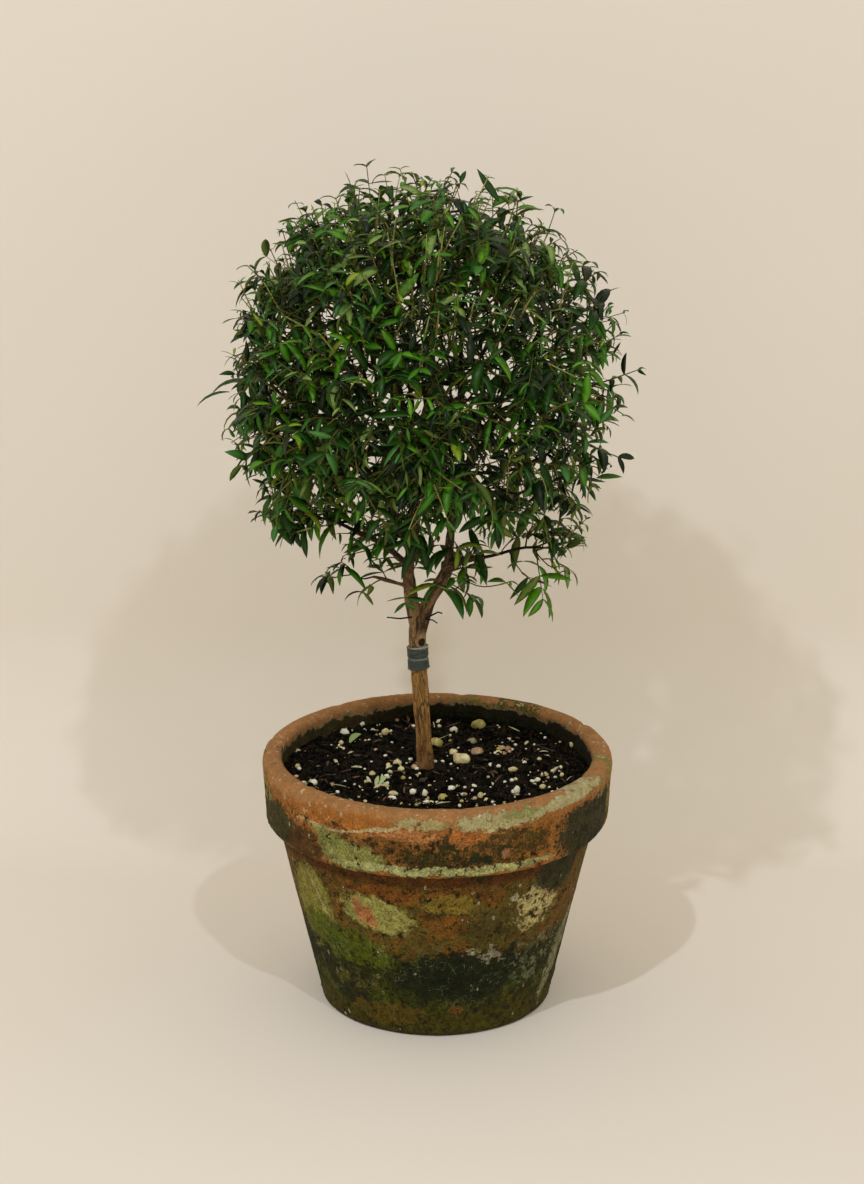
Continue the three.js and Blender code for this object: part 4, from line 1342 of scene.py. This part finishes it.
def twigRadii(parents, startRadius):
    # a twig's radius to the fork power is the sum of its children's, and no twig is thicker than its
    # share of the limb that it grows from
    power = crown["forkPower"]
    load = np.zeros(len(parents))
    mainChild = np.full(len(parents), -1)
    heaviest = np.zeros(len(parents))
    cap = np.zeros(len(parents))
    for k in range(len(parents) - 1, -1, -1):
        load[k] = max(load[k], crown["tipRadius"] ** power)
        parent = parents[k]
        if parent >= 0:
            load[parent] += load[k]
            if load[k] > heaviest[parent]:
                heaviest[parent], mainChild[parent] = load[k], k
    for k, parent in enumerate(parents):
        cap[k] = startRadius[k] if parent < 0 else cap[parent] * crown["thinning"]
    return np.minimum(load ** (1 / power), cap), mainChild


def growMass(name, facts, limbs):
    # the twigs of one mass: their points, parents, radii and main children, smoothed
    rng = np.random.default_rng(facts["seed"])
    starts = []
    for limb in facts["grownFrom"]:
        line = limbs[limb]
        starts.append(line[int(len(line) * facts["least"])::4])
        starts.append(line[-1:])
    starts = np.concatenate(starts)
    points, parents = growTwigs(starts[:, :3], massTargets(name, facts, rng), rng)
    startRadius = np.concatenate([starts[:, 3] * crown["shareOfLimb"],
                                  np.zeros(len(points) - len(starts))])
    radii, mainChild = twigRadii(parents, startRadius)
    inner = np.flatnonzero((parents >= 0) & (mainChild >= 0))
    for _ in range(2):
        middle = (points[parents[inner]] + points[mainChild[inner]]) / 2
        points[inner] = 0.5 * points[inner] + 0.5 * middle
    return {"points": points, "parents": parents, "radii": radii, "mainChild": mainChild,
            "starts": len(starts)}


def twigTubes(twigs):
    # one tube for each run of main children, starting inside the twig or limb that it leaves
    shapes = []
    points, parents, radii, mainChild = (twigs[key] for key in ("points", "parents", "radii", "mainChild"))
    isMain = np.zeros(len(points), bool)
    isMain[mainChild[mainChild >= 0]] = True
    isMain[mainChild[:twigs["starts"]][mainChild[:twigs["starts"]] >= 0]] = False
    for first in np.flatnonzero((parents >= 0) & ~isMain):
        run = [first]
        while mainChild[run[-1]] >= 0:
            run.append(mainChild[run[-1]])
        line = np.concatenate([points[parents[first]][None], points[run]])
        radius = np.concatenate([[radii[first] * crown["rootFlare"]], radii[run]])
        shapes.append(tube(line, radius, 6 if radius[0] > 0.7 else 5))
    return shapes


shoot = {
    "stations": 6, "sides": 4, "tipShoots": (1, 2), "sideShare": 0.24, "sideDepth": (6, 58),
    "lowSideShare": 0.35,
    "least": 10, "most": 40, "past": (-9, 0),
    "thick": (0.42, 0.62), "thin": 0.26,
    "spacing": (5.0, 7.4),
    "alongTwig": 0.55, "outOfMass": 0.6, "stray": 0.8,  # what decides which way a shoot grows
    "seed": 211,
}


def makeShoots(twigs, name, rng):
    # where leafy shoots stand: one or two at each twig's tip and more along its sides, each aimed
    # partly along the twig, partly out of the mass and partly up or down by where it stands
    points, parents, mainChild = twigs["points"], twigs["parents"], twigs["mainChild"]
    middle = massMiddle(name)
    isBall = name == "foliage_ball"
    grown = parents >= 0
    tips = np.flatnonzero(grown & (mainChild < 0))
    sides = np.flatnonzero(grown & (mainChild >= 0))
    outward = unit(points - middle)
    depth = massReach(name, outward) - np.linalg.norm(points - middle, axis=1)
    if not isBall:
        outward = unit((points - points[0]) * [1, 1, 0.4] + [0, 0, -4])
    low, high = shoot["sideDepth"]
    sides = sides[(depth[sides] > low) & (depth[sides] < high)]
    sides = sides[rng.random(len(sides)) < shoot["sideShare" if isBall else "lowSideShare"]]
    kept = np.ones(len(points))
    if isBall:
        kept = np.interp(outward[:, 2], leafSizes["heights"], leafSizes["kept"])
    tips, sides = (chosen[rng.random(len(chosen)) < kept[chosen]] for chosen in (tips, sides))
    many = rng.integers(shoot["tipShoots"][0], shoot["tipShoots"][1] + 1, len(tips))
    roots = np.concatenate([np.repeat(tips, many), sides])
    growth = unit(points[roots] - points[parents[roots]])
    out = outward[roots]
    spread = np.concatenate([np.where(np.repeat(many, many) > 1, 0.75, 0.35), np.full(len(sides), 1.1)])
    jitter = unit(rng.normal(size=(len(roots), 3))) * spread[:, None]
    lift = np.interp(out[:, 2], [-0.8, -0.2, 0.3, 0.9], [-0.35, 0.0, 0.25, 0.35])
    way = unit(shoot["alongTwig"] * growth + shoot["outOfMass"] * out + shoot["stray"] * jitter
               + lift[:, None] * [0, 0, 1])
    way = unit(way + out * np.clip(0.25 - (way * out).sum(-1), 0, 1)[:, None])
    past = rng.uniform(*shoot["past"], len(roots)) + np.interp(out[:, 2], [0.4, 0.9], [0, 6])
    facing = np.clip((way * out).sum(-1), 0.35, 1)
    length = np.clip((depth[roots] + past) / facing, shoot["least"], shoot["most"])
    length *= rng.uniform(0.75, 1.0, len(roots))
    return {"base": points[roots], "way": way, "length": length, "out": out, "depth": depth[roots]}


def shootPlaces(shoots, owner, share):
    # a shoot bends a little sideways and, as it gets longer, down at its end or up towards the light:
    # base + length * (share * way + share^2 * bend), with the direction that this gives
    way, bend = shoots["way"][owner], shoots["bend"][owner]
    length, share = shoots["length"][owner][:, None], share[:, None]
    place = shoots["base"][owner] + length * (share * way + share ** 2 * bend)
    return place, unit(way + 2 * share * bend)


def shootTubes(shoots, kinds):
    # every shoot's own stem as one grid of rings, all at once
    count, stations, sides = len(shoots["length"]), shoot["stations"], shoot["sides"]
    owner = np.repeat(np.arange(count), stations)
    share = np.tile(np.linspace(0, 1, stations), count)
    place, tangent = shootPlaces(shoots, owner, share)
    side = unit(np.cross(tangent, shoots["side"][owner]))
    radius = shoots["thick"][owner] * (1 - share) + shoot["thin"] * share
    points = ringsRound(place, side, np.cross(tangent, side), radius, sides).reshape(count, -1, 3)
    poles = place.reshape(count, stations, 3)[:, [0, -1]]
    poles = poles + np.stack([-shoots["way"], shoots["way"]], axis=1) * 0.2
    points = np.concatenate([points, poles], axis=1)
    each = points.shape[1]
    quads, caps = gridQuads(stations, sides), endFans(stations * sides, sides)
    offset = (np.arange(count) * each)[:, None, None]
    shape = (points.reshape(-1, 3), (quads + offset).reshape(-1, 4), (caps + offset).reshape(-1, 3))
    kind = np.concatenate([np.repeat(kinds, len(quads)), np.repeat(kinds, len(caps))])
    return shape, kind


def inOne(rows):
    # several dictionaries of arrays, end to end
    return {key: np.concatenate([row[key] for row in rows]) for key in rows[0]}


def leafFacts(shoots, rng):
    # opposite pairs of leaves along each shoot, each pair a quarter turn on from the last, wide open
    # near its foot and closing towards its tip, where the leaves are also smaller
    leafy = 1 - leafSizes["bare"]
    pairs = np.maximum(2, (shoots["length"] * leafy / shoots["spacing"]).astype(int))
    owner = np.repeat(np.arange(len(pairs)), pairs)
    order = np.arange(len(owner)) - np.repeat(np.cumsum(pairs) - pairs, pairs)
    share = np.clip(leafSizes["bare"] + leafy * (order + 0.85) / pairs[owner], 0, 1)
    place, tangent = shootPlaces(shoots, owner, share)
    turn = shoots["turn"][owner] + order * np.pi / 2 + rng.normal(0, 0.42, len(owner))
    side = unit(np.cross(tangent, shoots["side"][owner]))
    front = np.cross(tangent, side)
    halves = []
    for opposite in (0, np.pi):
        a = (turn + opposite)[:, None]
        aside = unit((np.cos(a) * side + np.sin(a) * front) * [1, 1, leafSizes["level"]])
        opening = np.interp(share, [0, 0.6, 1], [78, 70, 52]) + rng.normal(0, 14, len(owner))
        axil = np.radians(opening)[:, None]
        along = np.cos(axil) * tangent + np.sin(axil) * aside
        along = unit(along - shoots["droop"][owner][:, None] * [0, 0, 1])
        up = np.array([0, 0, 1.0]) + 0.3 * shoots["out"][owner] + (
            shoots["tumble"][owner][:, None] * rng.normal(size=along.shape))
        up = unit(up - (up * along).sum(-1, keepdims=True) * along)
        size = np.interp(share, [0, 0.35, 0.75, 1], [0.8, 1.0, 0.9, 0.5])
        size = size * rng.uniform(0.8, 1.15, len(owner))
        length = np.minimum(shoots["leafLength"][owner] * size, leafSizes["longest"])
        width = length * shoots["slim"][owner] * rng.uniform(0.88, 1.12, len(owner))
        halves.append({"base": place, "along": along, "up": up, "length": length,
                       "width": np.minimum(width, leafSizes["widest"]), "owner": owner})
    facts = inOne(halves)
    facts["arch"] = shoots["arch"][facts["owner"]] + rng.normal(0, 0.25, len(facts["length"]))
    facts["fold"] = rng.uniform(0.12, 0.42, len(facts["length"]))
    facts["twist"] = rng.normal(0, 0.35, len(facts["length"]))
    return facts


# Long bare shoots, cut back in past clippings, that stand a little out of the ball with a few small leaves
trimmed = {"count": 75, "seed": 307, "length": (26, 56), "thick": (0.6, 1.15), "past": (-7, 4), "lowest": 0.3,
           "spacing": (8, 14), "leafLength": (6, 12), "outward": 0.85, "rise": 0.55, "stray": 0.2}


def trimmedShoots(name):
    rng = np.random.default_rng(trimmed["seed"])
    out = unit(rng.normal(size=(trimmed["count"] * 3, 3)))
    out = out[out[:, 2] > trimmed["lowest"]][:trimmed["count"]]
    count = len(out)
    length = rng.uniform(*trimmed["length"], count)
    way = trimmed["outward"] * out + [0, 0, trimmed["rise"]]
    way = unit(way + trimmed["stray"] * rng.normal(size=(count, 3)))
    tip = massMiddle(name) + out * (massReach(name, out) + rng.uniform(*trimmed["past"], count))[:, None]
    shoots = {"base": tip - way * length[:, None], "way": way, "length": length, "out": out,
              "depth": np.full(count, 5.0)}
    shoots = dressShoots(shoots, rng)
    shoots["bend"] = rng.normal(0, 0.06, (count, 3))
    shoots["base"] -= shoots["bend"] * length[:, None]
    shoots["thick"] = rng.uniform(*trimmed["thick"], count)
    shoots["spacing"] = rng.uniform(*trimmed["spacing"], count)
    shoots["leafLength"] = rng.uniform(*trimmed["leafLength"], count)
    return shoots


# How a shoot's leaves look, by its height in the crown from -1 to 1
leafSizes = {
    "heights": (-1.0, -0.55, -0.1, 0.35, 1.0),
    "length": (16.0, 16.5, 16.5, 17.0, 17.0),
    "slim": (0.27, 0.24, 0.21, 0.27, 0.33),
    "arch": (0.7, 0.9, 1.1, 1.2, 1.3),
    "droop": (0.2, 0.18, 0.15, 0.08, 0.04),
    "tumble": (0.5, 0.42, 0.3, 0.2, 0.2),  # how far leaves face away from the sky
    "kept": (0.34, 0.7, 0.82, 0.7, 0.64),  # the share of the ball's shoots that have leaves
    "level": 0.45,  # how far a leaf's side direction is kept from pointing up or down
    "broadShare": (0.28, 0.26, 0.22, 0.14, 0.08), "broad": 1.35, "broadSlim": 0.32,
    "longest": 23, "widest": 6.8,
    "bare": 0.14,  # the share of a shoot's length at its foot that has no leaves
}


def dressShoots(shoots, rng):
    # the draws that make each shoot differ: its bend, turn, stem and leaf size
    count = len(shoots["length"])
    height = shoots["out"][:, 2]
    sized = {key: np.interp(height, leafSizes["heights"], leafSizes[key])
             for key in ("length", "slim", "arch", "droop", "tumble", "broadShare")}
    broad = rng.random(count) < sized["broadShare"]
    shoots["size"] = rng.uniform(0.78, 1.22, count) * np.where(broad, leafSizes["broad"], 1)
    shoots["leafLength"] = sized["length"] * shoots["size"]
    shoots["slim"] = np.where(broad, leafSizes["broadSlim"], sized["slim"]) * rng.uniform(0.8, 1.25, count)
    shoots["arch"] = sized["arch"] * rng.uniform(0.3, 1.5, count)
    shoots["droop"] = sized["droop"] + rng.normal(0, 0.2, count)
    shoots["tumble"] = sized["tumble"]
    shoots["broad"] = broad
    shoots["bend"] = rng.normal(0, 0.13, (count, 3))
    shoots["bend"][:, 2] += np.interp(height, [-0.6, 0.2, 0.8], [-0.12, -0.02, 0.1])
    shoots["side"] = unit(np.cross(shoots["way"], unit(rng.normal(size=(count, 3)))))
    shoots["turn"] = rng.uniform(0, np.pi, count)
    shoots["thick"] = rng.uniform(*shoot["thick"], count)
    shoots["spacing"] = rng.uniform(*shoot["spacing"], count) * np.sqrt(shoots["size"])
    return shoots


# Greens for the upper faces and undersides of the leaves, with how often a spray has each; and barks
leafGreens = {
    "leafBlackGreen": ((13, 32, 3), 0.10), "leafDark": ((28, 66, 4), 0.21),
    "leafMiddle": ((57, 112, 9), 0.34), "leafBright": ((76, 132, 14), 0.17),
    "leafVivid": ((90, 144, 16), 0.04), "leafYellow": ((126, 148, 30), 0.06),
    "leafGrey": ((64, 116, 44), 0.08), "leafSilver": ((124, 152, 74), 0.06),
}
undersides = {"underGrey": (74, 94, 32), "underPale": (104, 120, 52)}
# the old twigs' dark brown is partly their own bark and partly painted shade inside the crown
twigBarks = {"oldTwig": (32, 23, 11), "greenTwig": (84, 86, 34), "paleShoot": (152, 146, 80),
             "brownShoot": (108, 94, 44)}


def foliageMaterials():
    upper = {name: look[0] for name, look in leafGreens.items()}
    leaves = (plainMaterials(upper, Roughness=0.38, Specular_IOR_Level=0.27)
              + plainMaterials(undersides, Roughness=0.7, Specular_IOR_Level=0.15))
    return leaves, plainMaterials(twigBarks, Roughness=0.75, Specular_IOR_Level=0.15)


def sprayColours(shoots, rng):
    # one green, one underside and one bark for each spray: greyer and paler at the top, which is painted
    # sheen and light from above, darker low and deep in the crown, which is painted shade, and vivid where
    # the leaves are broad
    count = len(shoots["length"])
    weight = np.tile([look[1] for look in leafGreens.values()], (count, 1))
    names = list(leafGreens)
    height = shoots["out"][:, 2]
    # more silvery greens towards the top: painted sheen and light from above
    weight[:, names.index("leafSilver")] *= np.interp(height, [0.1, 0.8], [0.5, 4])
    weight[:, names.index("leafGrey")] *= np.interp(height, [-0.6, 0.0, 0.8], [4.5, 1, 1.5])
    # fewer bright greens low in the ball: painted shade
    for name in ("leafBright", "leafVivid"):
        lowShare = np.interp(height, [-0.9, -0.2, 0.1], [0.25, 0.6, 1])
        weight[:, names.index(name)] *= np.where(shoots["broad"], 2.2, 0.85) * lowShare
    # more dark greens deep in the crown and low down: painted shade
    for name in ("leafBlackGreen", "leafDark"):
        deep = np.interp(shoots["depth"], [8, 26], [0.8, 4.0])
        weight[:, names.index(name)] *= deep * np.interp(height, [-0.9, -0.3], [1.8, 1])
    chance = np.cumsum(weight / weight.sum(axis=1, keepdims=True), axis=1)
    under = len(leafGreens) + rng.integers(0, len(undersides), count)
    bark = rng.choice([1, 1, 1, 2, 3], count)
    return drawGreen(chance, rng), chance, under, bark


def drawGreen(chance, rng):
    return (rng.random(len(chance))[:, None] > chance[:, :-1]).sum(axis=1)


oddLeaves = 0.35  # the share of leaves that differ from their spray


def leafColours(facts, colours, rng):
    # most leaves have their spray's green, and some another one that suits the spray
    green, chance, under = colours
    owner = facts["owner"]
    odd = rng.random(len(owner)) < oddLeaves
    return np.where(odd, drawGreen(chance[owner], rng), green[owner]), under[owner]


# Leafy shoots that stand on the bare limbs under the crown, and how far up each limb they start
limbShoots = {
    "bough_left": (9, 0.2), "leader": (6, 0.25), "bough_left_upper": (7, 0.2), "bough_shelf": (5, 0.3),
    "bough_right_upper": (5, 0.2), "bough_right": (6, 0.45), "twig_left_low": (2, 0.3),
    "bough_back": (8, 0.2),
}
limbShootSeed = 401


def shootsOnLimbs(limbs):
    rng = np.random.default_rng(limbShootSeed)
    base, way = [], []
    for name, (count, first) in limbShoots.items():
        line = limbs[name]
        at = (rng.uniform(first, 0.97, count) * len(line)).astype(int)
        growth = unit(np.gradient(line[:, :3], axis=0))[at]
        aside = rng.normal(size=(count, 3))
        aside = unit(aside - (aside * growth).sum(-1, keepdims=True) * growth)
        base.append(line[at, :3] + aside * line[at, 3:] * 0.6)
        way.append(unit(aside * [1, 1, 0.6] + 0.6 * growth))
    base, way = np.concatenate(base), np.concatenate(way)
    count = len(base)
    return dressShoots({"base": base, "way": way, "length": rng.uniform(9, 20, count),
                        "out": unit(way * [1, 1, 0] + [0, 0, -0.45]), "depth": np.full(count, 12.0)}, rng)


# Single leaves that stand out on the outline: where each starts and ends, its width and its droop
singleLeaves = {
    "crest": dict(start=(35, -5, 480), end=(22.5, -5, 498.5), width=6.5, arch=-0.3),
    "crestArc": dict(start=(30, 2, 484), end=(50, 2, 481), width=2.2, arch=1.6),
    "farLeft": dict(start=(-117, -4, 371), end=(-136, -4, 362), width=2.6, arch=1.3),
    "left": dict(start=(-108, -14, 381), end=(-127, -14, 371), width=2.8, arch=1.3),
    "right": dict(start=(91, -20, 325), end=(105.5, -20, 325.5), width=5, arch=0.3),
    "frontBlade": dict(start=(-34, -112, 384), end=(-13, -116, 386), width=6.8, arch=0.2),
    "stemLeaf": dict(start=(-12, -8, 283), end=(-20, -12, 262), width=5.5, arch=0.2),
    "stemLeafSide": dict(start=(-12, -8, 283), end=(-31, -9, 279), width=5.5, arch=0.6),
}


def singleLeafFacts():
    start, end, width, arch = (np.array([leaf[key] for leaf in singleLeaves.values()], float)
                               for key in ("start", "end", "width", "arch"))
    chord = unit(end - start)
    skyward = np.array([0, -0.45, 1.0])
    face = unit(skyward - chord * (chord @ skyward)[:, None])
    half = (arch / 2)[:, None]
    along = np.cos(half) * chord + np.sin(half) * face
    up = np.cos(half) * face - np.sin(half) * chord
    length = np.linalg.norm(end - start, axis=1) * (half[:, 0] / np.sin(half[:, 0]))
    count = len(start)
    return {"base": start, "along": along, "up": up, "length": length, "width": width,
            "owner": np.zeros(count, int), "arch": arch, "fold": np.full(count, 0.2),
            "twist": np.zeros(count)}


# Short dead stubs low on the stem: their points and thickness
stubs = {
    "left": dict(line=((-14, -4, 236.8), (-21, -5, 236.2), (-28.4, -5, 237.0)), radius=0.55),
    "right": dict(line=((-6, -4, 236), (-2.6, -5, 238.2), (1.4, -5, 240.2), (3.6, -5, 239.4)), radius=0.6),
    "rightLow": dict(line=((-6, -4, 235.5), (-2, -5, 235.4), (0.8, -5, 233.4)), radius=0.5),
}


def makeFoliage(limbs):
    rng = np.random.default_rng(shoot["seed"])
    greens, barks = foliageMaterials()
    twigShapes, stemShapes, stemKinds = [], [], []
    crownParts = {name: [] for name in masses}
    barkNames = list(twigBarks)

    def addShoots(name, shoots, pale=False):
        *colours, bark = sprayColours(shoots, rng)
        if pale:
            bark = np.where(bark == barkNames.index("brownShoot"), bark, barkNames.index("paleShoot"))
        shape, kind = shootTubes(shoots, bark)
        stemShapes.append(shape)
        stemKinds.append((kind, len(shape[1])))
        facts = leafFacts(shoots, rng)
        crownParts[name].append((facts, *leafColours(facts, colours, rng)))
        print("   ", name, "shoots", len(shoots["length"]), "leaves", len(facts["length"]))

    for name, facts in masses.items():
        twigs = growMass(name, facts, limbs)
        twigShapes += twigTubes(twigs)
        addShoots(name, dressShoots(makeShoots(twigs, name, rng), rng))
    addShoots("foliage_ball", trimmedShoots("foliage_ball"), pale=True)
    addShoots("foliage_skirt_left", shootsOnLimbs(limbs))
    single = singleLeafFacts()
    count = len(single["length"])
    crownParts["foliage_ball"].append((single, np.resize([1, 2, 1], count), np.full(count, len(leafGreens))))
    for stub in stubs.values():
        line = resample(np.array(stub["line"], float), 0.8)
        twigShapes.append(tube(line, np.linspace(stub["radius"], stub["radius"] * 0.7, len(line)), 6))
    twigs = joined(twigShapes)
    whole = joined([twigs, *stemShapes])
    kinds = np.concatenate([
        np.zeros(len(twigs[1]), int), *(kind[:quads] for kind, quads in stemKinds),
        np.zeros(len(twigs[2]), int), *(kind[quads:] for kind, quads in stemKinds)])
    finishPiece(makePiece("twigs", whole, barks, kinds), "dark_bark", *masses)
    print("   twig triangles", len(whole[1]) * 2 + len(whole[2]))
    return crownParts, greens


def gathered(parts):
    facts, green, under = zip(*parts)
    return inOne(facts), np.concatenate(green), np.concatenate(under)


def makeLeafPieces(crownParts, greens):
    # the ball's leaves in bands by height, and the low masses' leaves together
    facts, green, under = gathered(crownParts["foliage_ball"])
    order = np.argsort(facts["base"][:, 2])
    groups = {}
    for k, chosen in enumerate(np.array_split(order, 3)):
        band = ({key: value[chosen] for key, value in facts.items()}, green[chosen], under[chosen])
        groups[f"ballLeaves{k + 1}"] = ("leaves", ["foliage_ball"], band)
    lowNames = [name for name in masses if name != "foliage_ball"]
    groups["lowLeaves"] = ("deep_leaves", lowNames, gathered(
        [part for name in lowNames for part in crownParts[name]]))
    for name, (slotName, nodes, (facts, green, under)) in groups.items():
        shape, owner, below = bladeShapes(*(facts[key] for key in (
            "base", "along", "up", "length", "width", "arch", "fold", "twist")))
        kinds = np.where(below, under[owner], green[owner])
        finishPiece(makePiece(name, shape, greens, kinds), slotName, *nodes)
        print("   ", name, len(facts["length"]), "leaves", len(shape[1]) * 2 + len(shape[2]), "triangles")


makeLeafPieces(*makeFoliage(limbs))
print("stage 6: foliage")
